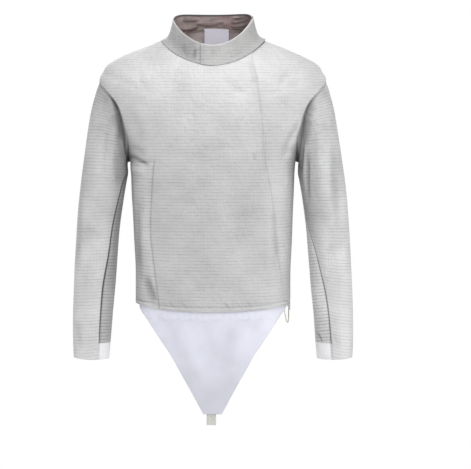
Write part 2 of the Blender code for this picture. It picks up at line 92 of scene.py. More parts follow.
SHOULDER_STRETCH = 1.3

# Sections of the arm, from the shoulder to the cuff. Seam angles are in degrees, turning from the
# outer side over the front.
Section = namedtuple(
    "Section", "outer_x outer_z inner_x inner_z y depth right_seam left_seam back_seam"
)
ARM = np.array([
    Section(0.2655, -0.150, 0.1835, -0.283, 0.000, 0.0665, 166, 174, 234),
    Section(0.2805, -0.243, 0.1895, -0.305, 0.000, 0.0680, 156, 172, 234),
    Section(0.2895, -0.305, 0.1965, -0.345, 0.000, 0.0660, 146, 166, 235),
    Section(0.2965, -0.375, 0.2040, -0.402, -0.002, 0.0610, 137, 158, 238),
    Section(0.3015, -0.450, 0.2095, -0.466, -0.006, 0.0560, 130, 131, 241),
    Section(0.3050, -0.520, 0.2145, -0.531, -0.011, 0.0510, 119, 114, 243),
    Section(0.3073, -0.590, 0.2205, -0.596, -0.017, 0.0460, 118, 106, 245),
    Section(0.3073, -0.655, 0.2248, -0.657, -0.021, 0.0430, 118, 102, 246),
    Section(0.3060, -0.690, 0.2277, -0.6925, -0.023, 0.0415, 118, 101, 246),
])
ARMHOLE_STEPS = 12
SLEEVE_COLUMNS = 24
FRONT_SEAM_COLUMN = 11
BACK_SEAM_COLUMN = 16
PATCH_SECTION = 8

# The crotch panel, from where it is sewn inside the front hem down to its tip
CrotchRow = namedtuple("CrotchRow", "z half_width pull_back")
CROTCH = np.array([
    CrotchRow(-0.556, 0.1560, 0.000),
    CrotchRow(-0.578, 0.1600, 0.000),
    CrotchRow(-0.600, 0.1440, 0.0005),
    CrotchRow(-0.640, 0.1160, 0.002),
    CrotchRow(-0.6775, 0.0900, 0.004),
    CrotchRow(-0.715, 0.0690, 0.007),
    CrotchRow(-0.745, 0.0520, 0.010),
    CrotchRow(-0.8060, 0.0197, 0.017),
])
CROTCH_INSET = 0.0025

# The hem loop's route: how far each point is inside the left front's wall, and where
LoopPoint = namedtuple("LoopPoint", "x z inside")
LOOP_DIAMETER = 0.0024
LOOP_ROUTE = [
    LoopPoint(0.1535, -0.5620, 0.0005),
    LoopPoint(0.1545, -0.5770, 0.0008),
    LoopPoint(0.1580, -0.5960, 0.0014),
    LoopPoint(0.1612, -0.6105, 0.0014),
    LoopPoint(0.1641, -0.6150, 0.0014),
    LoopPoint(0.1660, -0.6090, 0.0014),
    LoopPoint(0.1668, -0.5980, 0.0014),
    LoopPoint(0.1670, -0.5840, 0.0012),
    LoopPoint(0.1668, -0.5680, 0.0010),
]

# Columns of the body's grid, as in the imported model, and how many times finer the shells are
FINE = 8
FRONT_COUNTS = tuple(FINE * n for n in (5, 4, 8, 1, 5))
BACK_COUNTS = tuple(FINE * n for n in (4, 16, 4))
SEAM = FRONT_COUNTS[0]
COLLAR_SEAM = sum(FRONT_COUNTS[:2])
LAP_START = sum(FRONT_COUNTS[:3])
CLOSURE = sum(FRONT_COUNTS[:4])
BACK_LEFT = BACK_COUNTS[0]
BACK_RIGHT = sum(BACK_COUNTS[:2])
HEM_ROWS = 12
HEM_BAND = 0.3
LOW_ROWS = 74
ARMHOLE_ROWS = 48
HIGH_ROWS = 40
COLLAR_ROWS = 24

# Creases of the cloth, placed on the front or the back as seen from the front. A height below zero
# is a trough. Bow is how far the middle of a crease strays from its straight line.
Crease = namedtuple("Crease", "name x0 z0 x1 z1 bow width height")
FRONT_CREASES = [
    Crease("drape below the collar", 0.005, -0.052, 0.080, -0.124, 0.008, 0.010, -0.0009),
    Crease("rise beside that drape", -0.004, -0.046, 0.074, -0.098, 0.008, 0.012, 0.0008),
    Crease("top of the closure", 0.081, -0.030, 0.100, -0.115, 0.002, 0.006, -0.0013),
    Crease("rise behind the closure", 0.094, -0.046, 0.110, -0.110, 0.002, 0.008, 0.0006),
    Crease("closure at the upper chest", 0.099, -0.100, 0.106, -0.180, 0.001, 0.004, -0.0007),
    Crease("closure at the chest", 0.107, -0.200, 0.116, -0.300, 0.001, 0.006, -0.0008),
    Crease("dimple by the closure", 0.088, -0.242, 0.090, -0.262, 0.000, 0.003, -0.0008),
    Crease("pucker below the closure", 0.101, -0.268, 0.102, -0.300, 0.000, 0.003, -0.0006),
    Crease("second pucker", 0.109, -0.270, 0.110, -0.298, 0.000, 0.003, -0.0006),
    Crease("left armhole drape", 0.195, -0.165, 0.150, -0.256, 0.003, 0.008, -0.0018),
    Crease("rise of the left armhole drape", 0.188, -0.190, 0.156, -0.275, 0.003, 0.009, 0.0016),
    Crease("left armpit drape", 0.186, -0.225, 0.140, -0.262, 0.002, 0.006, -0.0010),
    Crease("right armpit fold", -0.192, -0.246, -0.128, -0.274, -0.002, 0.0042, -0.0028),
    Crease("right armpit fold above", -0.182, -0.226, -0.140, -0.254, -0.003, 0.006, -0.0010),
    Crease("rise below the right armpit", -0.184, -0.276, -0.138, -0.288, 0.000, 0.007, 0.0022),
    Crease("right chest drape", -0.170, -0.150, -0.150, -0.230, -0.004, 0.012, -0.0012),
    Crease("right front, upper", -0.068, -0.075, -0.078, -0.200, 0.002, 0.014, -0.0005),
    Crease("middle of the chest", -0.040, -0.228, 0.060, -0.232, 0.002, 0.012, -0.0005),
    Crease("drape above the hem", -0.066, -0.482, -0.020, -0.545, 0.002, 0.009, -0.0006),
    Crease("rise above the hem", -0.078, -0.480, -0.036, -0.540, 0.002, 0.009, 0.0006),
    Crease("waist, right", -0.100, -0.345, -0.020, -0.352, -0.002, 0.010, -0.0007),
    Crease("waist, left", 0.010, -0.380, 0.095, -0.372, 0.002, 0.011, -0.0007),
    Crease("long fold by the side", 0.131, -0.330, 0.146, -0.500, 0.004, 0.006, -0.0018),
    Crease("rise in front of the long fold", 0.118, -0.360, 0.126, -0.540, 0.003, 0.012, 0.0018),
    Crease("side panel, rise", -0.143, -0.300, -0.150, -0.480, 0.000, 0.007, 0.0012),
    Crease("side panel, trough", -0.162, -0.330, -0.158, -0.540, 0.002, 0.006, -0.0018),
    Crease("lower right corner", -0.150, -0.500, -0.118, -0.575, 0.003, 0.009, -0.0034),
    Crease("left shoulder, short", 0.165, -0.066, 0.140, -0.108, 0.002, 0.008, -0.0010),
    Crease("right shoulder, short", -0.160, -0.060, -0.138, -0.110, 0.003, 0.009, -0.0010),
]
BACK_CREASES = [
    Crease("across the shoulder blades, left", 0.205, -0.135, 0.060, -0.196, 0.008, 0.010, -0.0018),
    Crease("across the shoulder blades, right", -0.208, -0.140, -0.050, -0.210, -0.009, 0.011, -0.0020),
    Crease("left armhole drape", 0.188, -0.170, 0.110, -0.310, 0.008, 0.008, -0.0020),
    Crease("rise of the left drape", 0.172, -0.165, 0.095, -0.305, 0.008, 0.010, 0.0016),
    Crease("right armhole drape", -0.186, -0.180, -0.115, -0.320, -0.007, 0.008, -0.0020),
    Crease("rise of the right drape", -0.170, -0.180, -0.098, -0.320, -0.007, 0.010, 0.0014),
    Crease("below the collar", -0.070, -0.012, 0.055, -0.020, -0.006, 0.007, -0.0012),
    Crease("middle of the back", -0.080, -0.322, 0.100, -0.348, 0.007, 0.012, -0.0012),
    Crease("small of the back, left", 0.000, -0.405, 0.160, -0.372, 0.006, 0.009, -0.0016),
    Crease("small of the back, right", -0.160, -0.385, 0.010, -0.424, -0.006, 0.010, -0.0014),
    Crease("hanging fold, left", 0.082, -0.380, 0.096, -0.575, 0.004, 0.012, 0.0018),
    Crease("hanging fold, right", -0.066, -0.390, -0.090, -0.575, -0.004, 0.013, 0.0018),
    Crease("trough between them", 0.012, -0.410, 0.002, -0.575, 0.003, 0.016, -0.0014),
]
SLEEVE_CREASES = {
    ("right", "front"): [
        Crease("fold by the armhole", -0.226, -0.105, -0.190, -0.235, -0.006, 0.007, -0.0046),
        Crease("fold above the elbow seam", -0.200, -0.235, -0.200, -0.330, 0.004, 0.009, -0.0016),
        Crease("long light band", -0.236, -0.190, -0.262, -0.420, 0.004, 0.012, 0.0026),
        Crease("inner light band", -0.206, -0.170, -0.218, -0.300, 0.003, 0.007, 0.0022),
        Crease("trough between the bands", -0.222, -0.180, -0.238, -0.310, 0.003, 0.009, -0.0012),
        Crease("elbow, across", -0.285, -0.400, -0.225, -0.430, 0.004, 0.013, -0.0010),
        Crease("forearm, long", -0.250, -0.480, -0.262, -0.660, 0.002, 0.012, 0.0018),
        Crease("outer trough", -0.288, -0.280, -0.296, -0.520, 0.002, 0.009, -0.0016),
        Crease("above the cuff", -0.296, -0.600, -0.285, -0.680, 0.002, 0.009, -0.0016),
    ],
    ("left", "front"): [
        Crease("fold by the armhole", 0.222, -0.110, 0.186, -0.240, 0.006, 0.008, -0.0046),
        Crease("first armpit fold", 0.196, -0.205, 0.190, -0.300, 0.002, 0.0035, -0.0034),
        Crease("ridge between the folds", 0.201, -0.215, 0.200, -0.330, 0.002, 0.003, 0.0018),
        Crease("second armpit fold", 0.206, -0.235, 0.208, -0.360, 0.002, 0.0035, -0.0026),
        Crease("long light band", 0.230, -0.130, 0.240, -0.390, 0.004, 0.012, 0.0030),
        Crease("lower light band", 0.236, -0.380, 0.250, -0.560, 0.003, 0.012, 0.0018),
        Crease("outer trough", 0.262, -0.200, 0.275, -0.430, 0.003, 0.011, -0.0022),
        Crease("elbow, across", 0.230, -0.455, 0.296, -0.440, 0.003, 0.013, -0.0009),
        Crease("forearm, long", 0.272, -0.560, 0.277, -0.680, 0.002, 0.010, 0.0014),
        Crease("vent above the cuff patch", 0.2235, -0.632, 0.238, -0.660, -0.002, 0.0022, -0.0024),
    ],
    ("right", "back"): [
        Crease("elbow, upper", -0.292, -0.395, -0.222, -0.425, -0.006, 0.008, -0.0030),
        Crease("elbow, lower", -0.288, -0.450, -0.225, -0.470, 0.004, 0.008, -0.0026),
        Crease("rise at the elbow", -0.290, -0.423, -0.224, -0.448, 0.000, 0.008, 0.0018),
        Crease("fold by the armhole", -0.222, -0.120, -0.192, -0.245, -0.006, 0.009, -0.0034),
        Crease("long band", -0.245, -0.180, -0.268, -0.380, 0.003, 0.013, 0.0024),
        Crease("forearm, long", -0.268, -0.500, -0.258, -0.670, 0.003, 0.010, -0.0016),
    ],
    ("left", "back"): [
        Crease("elbow, upper", 0.222, -0.405, 0.290, -0.380, 0.006, 0.008, -0.0028),
        Crease("elbow, lower", 0.226, -0.462, 0.292, -0.446, -0.004, 0.008, -0.0028),
        Crease("rise at the elbow", 0.224, -0.434, 0.290, -0.414, 0.000, 0.008, 0.0018),
        Crease("fold by the armhole", 0.224, -0.120, 0.190, -0.245, 0.006, 0.009, -0.0034),
        Crease("long band", 0.248, -0.170, 0.262, -0.370, 0.003, 0.013, 0.0024),
        Crease("forearm, long", 0.262, -0.500, 0.270, -0.670, 0.003, 0.010, -0.0016),
    ],
}
COLLAR_CREASES = [
    Crease("beside the collar's seam", -0.036, -0.018, -0.040, -0.044, 0.001, 0.004, -0.0012),
    Crease("right of the collar", -0.066, -0.006, -0.056, -0.034, 0.001, 0.007, -0.0005),
    Crease("left of the collar", 0.050, -0.010, 0.058, -0.040, 0.001, 0.008, -0.0003),
    Crease("front of the collar, light", -0.012, -0.014, -0.016, -0.046, 0.001, 0.006, 0.0004),
    Crease("front of the collar, dark", 0.004, -0.016, 0.000, -0.050, 0.001, 0.006, -0.0004),
    Crease("left front of the collar, light", 0.020, -0.030, 0.062, -0.014, 0.001, 0.004, 0.0005),
    Crease("left front of the collar, dark", 0.030, -0.044, 0.070, -0.024, 0.001, 0.004, -0.0004),
]
FACING_CREASES = [
    Crease("left end, top", 0.040, 0.054, 0.076, 0.057, 0.002, 0.0020, -0.0012),
    Crease("left end, upper", 0.036, 0.045, 0.082, 0.051, 0.003, 0.0022, -0.0018),
    Crease("left end, middle", 0.034, 0.038, 0.084, 0.039, 0.003, 0.0022, -0.0018),
    Crease("left end, lower", 0.036, 0.031, 0.086, 0.024, -0.003, 0.0022, -0.0016),
    Crease("left end, lowest", 0.050, 0.024, 0.088, 0.012, -0.003, 0.0024, -0.0014),
    Crease("middle, long", -0.055, 0.043, 0.034, 0.047, 0.004, 0.0030, -0.0012),
    Crease("middle, low", -0.030, 0.034, 0.020, 0.036, -0.002, 0.0030, -0.0010),
    Crease("right end", -0.082, 0.028, -0.030, 0.038, 0.003, 0.0028, -0.0016),
    Crease("right end, upper", -0.076, 0.048, -0.026, 0.051, 0.001, 0.0026, -0.0014),
    Crease("right end, lower", -0.084, 0.016, -0.044, 0.026, 0.002, 0.0028, -0.0012),
]
CROTCH_CREASES = [
    Crease("left fold", -0.088, -0.600, -0.036, -0.730, 0.008, 0.016, -0.0014),
    Crease("left light band", -0.060, -0.600, -0.014, -0.740, 0.010, 0.018, 0.0018),
    Crease("middle fold", -0.016, -0.600, 0.004, -0.690, 0.004, 0.014, -0.0010),
    Crease("right fold", 0.040, -0.600, 0.016, -0.730, -0.006, 0.018, -0.0014),
    Crease("right light band", 0.070, -0.600, 0.034, -0.700, -0.004, 0.016, 0.0010),
    Crease("fold at the right top", 0.120, -0.588, 0.074, -0.635, 0.003, 0.009, -0.0012),
    Crease("fold at the left top", -0.130, -0.588, -0.084, -0.628, -0.003, 0.009, -0.0012),
]

# A gridded cloth. Its shade is painted shade, how much darker each point is drawn than the rest; below 0 it is a
# painted highlight.
Cloth = namedtuple("Cloth", "points normals uv shade", defaults=(None,))


def smoothstep(value):
    t = np.clip(value, 0.0, 1.0)
    return t * t * (3 - 2 * t)


def power(value, exponent):
    return np.sign(value) * np.abs(value) ** exponent


def between(values, at):
    """Rows of an array at fractional indices, on a cubic that is smooth through its rows."""
    last = len(values) - 1
    at = np.atleast_1d(np.asarray(at, float))
    i = np.clip(at.astype(int), 0, last - 1)
    t = (at - i).reshape(-1, *[1] * (values.ndim - 1))
    before, start, end, after = (values[np.clip(i + k, 0, last)] for k in (-1, 0, 1, 2))
    bend = 3 * (start - end) + after - before
    curve = 2 * before - 5 * start + 4 * end - after
    return start + 0.5 * t * (end - before + t * (curve + t * bend))


def loops_at(table, at):
    """Loops at fractional rows of a table, each field a column that broadcasts over angles."""
    return Loop(*between(table, at).T[:, :, None])


def angle_at(loop, x):
    """Angle from the front, towards +X, of the point of a loop's front half with this x."""
    return np.arcsin(power(x / loop.half_width, loop.squareness / 2))


def loop_point(loop, angle, front_curve=2.0, back_flat=0.0):
    """Points of loops. Angle 0 is the front, and it grows towards the wearer's left.

    A lower front curve rounds the front's sides. Back flat, up to 1, keeps the back high up to its sides.
    """
    sine, cosine = np.sin(angle), np.cos(angle)
    depth = np.where(cosine > 0, loop.front, loop.back)
    z_middle = np.where(cosine > 0, loop.z_front, loop.z_back)
    x = loop.half_width * power(sine, 2 / loop.squareness)
    y = -depth * power(cosine, 2 / loop.squareness)
    front_share = 1 - np.abs(cosine) ** front_curve
    back_share = (1 - back_flat) * sine * sine + back_flat * (1 - np.abs(cosine)) ** 2.5
    z = z_middle + (loop.z_side - z_middle) * np.where(cosine > 0, front_share, back_share)
    return np.stack([x, y, z], -1)


def body_point(at, angle):
    """Points of the body's surface, where the left front hangs lower at its side."""
    loop = loops_at(BODY, at)
    start, side = angle_at(loop, loop.closure_x), math.pi / 2
    before = smoothstep((angle - start) / (side - start))
    after = smoothstep((BACK_SEAM - angle) / (BACK_SEAM - side))
    drop = LEFT_HEM_DROP * np.where(angle <= side, before, after) * (angle > 0)
    curve = 2 + (NECK_CURVE - 2) * smoothstep((at - SHOULDER_TIP) / (NECKLINE - SHOULDER_TIP))
    points = loop_point(loop, angle, curve[:, None])
    points[..., 2] -= drop * np.clip(1 - at, 0, 1)[:, None]
    return points


def collar_point(at, angle):
    """Points of the collar, whose rim stands higher at the wearer's left."""
    share = (at / (len(COLLAR) - 1))[:, None]
    points = loop_point(loops_at(COLLAR, at), angle, NECK_CURVE, share)
    points[..., 2] += RIM_RISE * share * np.clip(np.sin(angle), 0, 1) ** 3
    return points


def armhole_row(turn):
    """Row of the body at a turn round the armhole: 0 at the armpit, pi at the shoulder tip."""
    even, crowded = turn / math.pi, (1 - np.cos(turn)) / 2
    return ARMPIT + (SHOULDER_TIP - ARMPIT) * (even + crowded) / 2


def side_angles(turn):
    """Angles at which the body's front and back halves end on each side."""
    opening = np.sin(turn)
    upper = 1 + ARMHOLE_FLARE * ((1 - np.cos(turn)) / 2) ** 3
    return math.pi / 2 - ARMHOLE_FRONT * opening * upper, math.pi / 2 + ARMHOLE_BACK * opening


def spread(anchors, counts):
    """Evenly spaced angles from each anchor to the next, a row of them for each loop."""
    columns = [anchors[0]]
    for start, end, count in zip(anchors, anchors[1:], counts):
        columns.append(start + (end - start) * np.arange(1, count + 1) / count)
    return np.hstack(columns)


def front_angles(loop, side):
    closure, lap = angle_at(loop, loop.closure_x), angle_at(loop, loop.closure_x - LAP)
    collar_seam = angle_at(loop, COLLAR_SEAM_X)
    return spread((-side, -angle_at(loop, loop.seam_x), collar_seam, lap, closure, side), FRONT_COUNTS)


def back_angles(side):
    far = np.full_like(side, BACK_SEAM)
    return spread((side, far, math.tau - far, math.tau - side), BACK_COUNTS)


def length_along(points, axis):
    """Length of the cloth along one axis of its grid, from the first point."""
    steps = np.linalg.norm(np.diff(points, axis=axis), axis=-1)
    start = np.zeros_like(np.take(steps, [0], axis=axis))
    return np.concatenate([start, np.cumsum(steps, axis=axis)], axis=axis)


def surface_cloth(surface, at, angles, last, centre):
    """A gridded surface with its normals, and with the cloth's width and length at each point.

    The cloth's cross threads stay level, so its length follows the height.
    """
    step = 0.001
    points = surface(at, angles)
    up = surface(np.minimum(at + step, last), angles) - surface(np.maximum(at - step, 0), angles)
    along = surface(at, angles + step) - surface(at, angles - step)
    normals = np.cross(along, up)
    normals /= np.linalg.norm(normals, axis=-1, keepdims=True)
    middle = points[:, centre].copy()
    middle[:, 0] = 0
    middle_length = length_along(middle, 0)
    z, top = points[..., 2], middle[-1, 2]
    height = np.interp(z, middle[:, 2], middle_length) + SHOULDER_STRETCH * np.maximum(z - top, 0)
    across = length_along(points, 1)
    across -= across[:, [centre]]
    return Cloth(points, normals, np.stack([across, height], -1))


def body_cloth():
    """The body's front and back halves, from the hem to the neckline."""
    hem = np.linspace(0, HEM_BAND, HEM_ROWS, endpoint=False)
    low = np.linspace(HEM_BAND, ARMPIT, LOW_ROWS, endpoint=False)
    turns = np.linspace(0, math.pi, ARMHOLE_ROWS, endpoint=False)
    high = np.linspace(SHOULDER_TIP, NECKLINE, HIGH_ROWS + 1)
    at = np.concatenate([hem, low, armhole_row(turns), high])
    turn = np.concatenate([0 * hem, 0 * low, turns, 0 * high])
    front_side, back_side = side_angles(turn[:, None])
    front = surface_cloth(
        body_point, at, front_angles(loops_at(BODY, at), front_side), NECKLINE, COLLAR_SEAM
    )
    back = surface_cloth(
        body_point, at, back_angles(back_side), NECKLINE, sum(BACK_COUNTS) // 2
    )
    return front, back


ARMPIT_ROW = HEM_ROWS + LOW_ROWS
TIP_ROW = ARMPIT_ROW + ARMHOLE_ROWS


def collar_cloth():
    """The collar's front and back halves, from the neckline to the rim."""
    last = len(COLLAR) - 1
    at = np.linspace(0, last, COLLAR_ROWS + 1)
    side = np.full((len(at), 1), math.pi / 2)
    front = surface_cloth(
        collar_point, at, front_angles(loops_at(COLLAR, at), side), last, COLLAR_SEAM
    )
    back = surface_cloth(collar_point, at, back_angles(side), last, sum(BACK_COUNTS) // 2)
    return front, back


def armhole_line(columns):
    """Points of the left armhole: column 0 at the shoulder tip, then down the front."""
    turn = math.pi * (1 - columns / ARMHOLE_STEPS)
    front_side, back_side = side_angles(np.abs(turn))
    angles = np.where(turn > 0, front_side, back_side)
    return body_point(armhole_row(np.abs(turn)), angles[:, None])[:, 0]


def sleeve_angle(section, seam, columns):
    """Angles round a section, so that both seams keep to columns of their own."""
    anchors = (0, seam, section.back_seam, 360)
    places = (0, FRONT_SEAM_COLUMN, BACK_SEAM_COLUMN, SLEEVE_COLUMNS)
    return np.radians(np.interp(columns, places, anchors))


def sleeve_cloth(side):
    """A whole sleeve from the armhole to the cuff. Side is -1 for the wearer's right."""
    columns = np.linspace(0, SLEEVE_COLUMNS, SLEEVE_COLUMNS * FINE + 1)
    wrapped = columns % SLEEVE_COLUMNS
    path = [armhole_line(wrapped)]
    for row in ARM:
        section = Section(*row)
        angle = sleeve_angle(section, section.left_seam if side > 0 else section.right_seam, wrapped)
        outer = np.array([section.outer_x, section.y, section.outer_z])
        inner = np.array([section.inner_x, section.y, section.inner_z])
        depth = np.array([0, -section.depth, 0])
        ring = (outer + inner) / 2 + (outer - inner) / 2 * np.cos(angle)[:, None]
        path.append(ring + depth * np.sin(angle)[:, None])
    at = np.concatenate([
        np.linspace(0, 2, SLEEVE_CAP_ROWS, endpoint=False),
        np.linspace(2, PATCH_SECTION, SLEEVE_ARM_ROWS, endpoint=False),
        np.linspace(PATCH_SECTION, PATCH_SECTION + 1, SLEEVE_CUFF_ROWS + 1),
    ])
    points = between(np.array(path), at) * np.array([side, 1, 1])
    ring = points[:, :-1]
    around = np.roll(ring, -1, 1) - np.roll(ring, 1, 1)
    normals = np.cross(around, np.gradient(ring, axis=0)) * side
    normals = np.concatenate([normals, normals[:, :1]], 1)
    normals /= np.linalg.norm(normals, axis=-1, keepdims=True)
    length = length_along(points, 0)
    level = SLEEVE_CAP_ROWS
    height = points[level, :, 2] + length[level] - length
    return Cloth(points, normals, np.stack([length_along(points, 1), height], -1))


SLEEVE_CAP_ROWS = 40
SLEEVE_ARM_ROWS = 100
SLEEVE_CUFF_ROWS = 16
PATCH_ROW = SLEEVE_CAP_ROWS + SLEEVE_ARM_ROWS
UNDER = (FRONT_SEAM_COLUMN * FINE, BACK_SEAM_COLUMN * FINE)


def creased(cloth, creases):
    """Height of these creases over a cloth, each fading towards its two ends."""
    x, z = cloth.points[..., 0], cloth.points[..., 2]
    height = np.zeros_like(x)
    for crease in creases:
        dx, dz = crease.x1 - crease.x0, crease.z1 - crease.z0
        length = math.hypot(dx, dz)
        along = ((x - crease.x0) * dx + (z - crease.z0) * dz) / length**2
        across = ((x - crease.x0) * dz - (z - crease.z0) * dx) / length
        across = across - crease.bow * 4 * along * (1 - along)
        fade = smoothstep((1 - np.abs(2 * along - 1)) * CREASE_FADE)
        height += CREASE_DEPTH * crease.height * fade * np.exp(-((across / crease.width) ** 2))
    return height


CREASE_FADE = 1.5
CREASE_DEPTH = 1.6


def shaded(cloth, height, *seams):
    """The cloth with painted shade in its troughs and along its seams, and a painted highlight on its ridges.

    Each seam is a line and how dark its painted shadow line is, which may be two values, for its start and its end.
    """
    shade = np.clip(-height / SHADE_DEPTH, -LIGHTEST, DARKEST)
    for line, strength in seams:
        distance, place = near(cloth, line)
        depth = np.interp(place, (0, place.max()), np.broadcast_to(strength, 2))
        shade = np.maximum(shade, depth * np.exp(-((distance / SEAM_SHADE_WIDTH) ** 2)))
    return cloth._replace(shade=shade)


# Painted shade: the trough depth that counts as a shade of 1, the most painted highlight on ridges and painted
# shade in troughs, and the width of the painted shadow lines along seams
SHADE_DEPTH = 0.009
LIGHTEST = 0.3
DARKEST = 0.8
SEAM_SHADE_WIDTH = 0.0015


def near(cloth, line):
    """Distance from each point of a cloth to a line, and how far along the line that is."""
    along = length_along(line, 0)
    distance = np.full(cloth.points.shape[:2], np.inf)
    place = np.zeros_like(distance)
    for point, length in zip(line, along):
        to_point = np.linalg.norm(cloth.points - point, axis=-1)
        closer = to_point < distance
        distance[closer] = to_point[closer]
        place[closer] = length
    return distance, place


def uneven(place, scale, seed):
    """A smooth, uneven wave along a line, between about -1 and 1."""
    waves = ((1.0, 1.0), (1.73, 0.7), (0.57, 0.8), (2.9, 0.35))
    total = sum(
        size * np.sin(math.tau * place * rate / scale + seed * (k + 1.7))
        for k, (rate, size) in enumerate(waves)
    )
    return total / 2


def seam_dip(cloth, line, seed, depth=0.0010, width=0.0026, pucker=0.0004, reach=0.010):
    """A groove along a seam, with the small puckers that its thread draws up beside it."""
    distance, place = near(cloth, line)
    groove = -depth * np.exp(-((distance / width) ** 2))
    ripples = pucker * uneven(place, 0.013, seed) * np.exp(-((distance / reach) ** 2))
    return groove + ripples * smoothstep(distance / width)


def moved(cloth, height):
    """The cloth moved out by a height at each of its points."""
    return cloth._replace(points=cloth.points + cloth.normals * np.asarray(height)[..., None])


def soft_waves(cloth, seed, height=0.0007):
    """The slight unevenness of cloth that hangs freely."""
    x, z = cloth.points[..., 0], cloth.points[..., 2]
    first = np.sin(x * 47 + z * 9 + seed) * np.cos(z * 13 - x * 6 + 2 * seed)
    second = np.sin(x * 83 - z * 21 + 3 * seed) * np.cos(z * 34 + x * 11 + seed)
    return height * (first + 0.5 * second)


Block = namedtuple("Block", "cloth keep free")


def block(cloth, *areas, free=()):
    """Part of a cloth's grid: areas of patches as (rows, columns), and its free rows and columns."""
    rows, columns = cloth.points.shape[:2]
    keep = np.zeros((rows - 1, columns - 1), bool)
    for row_range, column_range in areas:
        keep[slice(*row_range), slice(*column_range)] = True
    loose = np.zeros((rows, columns), bool)
    for axis, place in free:
        if axis == "row":
            loose[place, :] = True
        else:
            loose[:, place] = True
    return Block(cloth, keep, loose)


def shade_of(cloth):
    return np.zeros(cloth.points.shape[:2]) if cloth.shade is None else cloth.shade


def welded(points):
    """For each point, the number of the first one at its place."""
    keys = np.round(points / WELD).astype(np.int64)
    _, first, group = np.unique(keys, axis=0, return_index=True, return_inverse=True)
    return first[group.reshape(-1)]


WELD = 0.00001
RIM_TURNS = (0.25, 0.5, 0.75)


def shell(name, blocks, thickness, outer, inner=None, flipped=False):
    """A piece of cloth as a closed wall, rounded along its free edges."""
    points = np.concatenate([b.cloth.points.reshape(-1, 3) for b in blocks])
    normals = np.concatenate([b.cloth.normals.reshape(-1, 3) for b in blocks])
    uv = np.concatenate([b.cloth.uv.reshape(-1, 2) for b in blocks])
    free = np.concatenate([b.free.reshape(-1) for b in blocks])
    shade = np.concatenate([shade_of(b.cloth).reshape(-1) for b in blocks])
    same = welded(points)
    quads, start = [], 0
    for b in blocks:
        rows, columns = b.free.shape
        index = np.arange(start, start + rows * columns).reshape(rows, columns)
        corners = (index[:-1, :-1], index[:-1, 1:], index[1:, 1:], index[1:, :-1])
        quads.append(np.stack(corners, -1)[b.keep])
        start += rows * columns
    own = np.concatenate(quads)
    own = own[:, ::-1] if flipped else own
    quads = same[own]
    edges = np.concatenate([quads[:, [k, (k + 1) % 4]] for k in range(4)])
    own_edges = np.concatenate([own[:, [k, (k + 1) % 4]] for k in range(4)])
    count = len(points)
    is_rim = ~np.isin(edges[:, 0] * count + edges[:, 1], edges[:, 1] * count + edges[:, 0])
    rim, own_rim = edges[is_rim], own_edges[is_rim]
    away = np.zeros_like(points)
    outward = np.cross(points[rim[:, 1]] - points[rim[:, 0]], normals[rim[:, 0]])
    np.add.at(away, rim[:, 0], outward)
    np.add.at(away, rim[:, 1], outward)
    away /= np.maximum(np.linalg.norm(away, axis=-1, keepdims=True), 1e-12)
    bulge = (away * free[:, None]) * thickness / 2
    layers = [points]
    for turn in RIM_TURNS:
        angle = math.pi * turn
        layers.append(points - normals * thickness * (1 - math.cos(angle)) / 2 + bulge * math.sin(angle))
    layers.append(points - normals * thickness)
    last = len(layers) - 1
    faces, corners_uv = [quads, quads[:, ::-1] + last * count], [uv[own], uv[own[:, ::-1]]]
    for layer in range(last):
        upper, lower = layer * count, (layer + 1) * count
        strip = (rim[:, 1] + upper, rim[:, 0] + upper, rim[:, 0] + lower, rim[:, 1] + lower)
        faces.append(np.stack(strip, -1))
        corners_uv.append(uv[own_rim[:, [1, 0, 0, 1]]])
    faces, all_points = np.concatenate(faces), np.concatenate(layers)
    used, faces = np.unique(faces, return_inverse=True)
    faces = faces.reshape(-1, 4)
    obj = mesh_object(name, all_points[used], faces, [outer, inner or outer], np.concatenate(corners_uv))
    darkness = obj.data.attributes.new("shade", "FLOAT", "POINT")
    darkness.data.foreach_set("value", np.tile(shade, len(layers))[used].astype(np.float32))
    inside = np.zeros(len(faces), np.int32)
    inside[len(quads):2 * len(quads)] = 1
    obj.data.polygons.foreach_set("material_index", inside)
    return obj


def mesh_object(name, points, faces, materials, uv=None):
    """A smooth-shaded mesh of equal-sided faces, with its corners' place on the cloth as UV."""
    mesh = bpy.data.meshes.new(name)
    sides = faces.shape[1]
    mesh.vertices.add(len(points))
    mesh.vertices.foreach_set("co", points.astype(np.float32).ravel())
    mesh.loops.add(faces.size)
    mesh.loops.foreach_set("vertex_index", faces.astype(np.int32).ravel())
    mesh.polygons.add(len(faces))
    mesh.polygons.foreach_set("loop_start", np.arange(0, faces.size, sides, dtype=np.int32))
    if uv is not None:
        layer = mesh.uv_layers.new(name="cloth")
        layer.data.foreach_set("uv", uv.reshape(-1, 2).astype(np.float32).ravel())
    for material in materials:
        mesh.materials.append(material)
    mesh.update(calc_edges=True)
    mesh.validate()
    mesh.shade_smooth()
    mesh.set_sharp_from_angle(angle=SHARP_ANGLE)
    obj = bpy.data.objects.new(name, mesh)
    bpy.context.scene.collection.objects.link(obj)
    return obj


SHARP_ANGLE = math.radians(55)

Line = namedtuple("Line", "points normals")


def edge_line(cloth, edge, inset, start=0, stop=None):
    """A line that keeps its distance from one edge of a cloth's grid, between two places on it."""
    points, normals = cloth.points, cloth.normals
    if edge in ("left", "right"):
        points, normals = points.swapaxes(0, 1), normals.swapaxes(0, 1)
    if edge in ("top", "right"):
        points, normals = points[::-1], normals[::-1]
    points, normals = points[:, start:stop], normals[:, start:stop]
    length = length_along(points, 0)
    beyond = np.argmax(length > inset, axis=0)
    place = np.arange(points.shape[1])
    low, high = length[beyond - 1, place], length[beyond, place]
    share = ((inset - low) / (high - low))[:, None]
    return Line(
        points[beyond - 1, place] * (1 - share) + points[beyond, place] * share,
        normals[beyond - 1, place] * (1 - share) + normals[beyond, place] * share,
    )


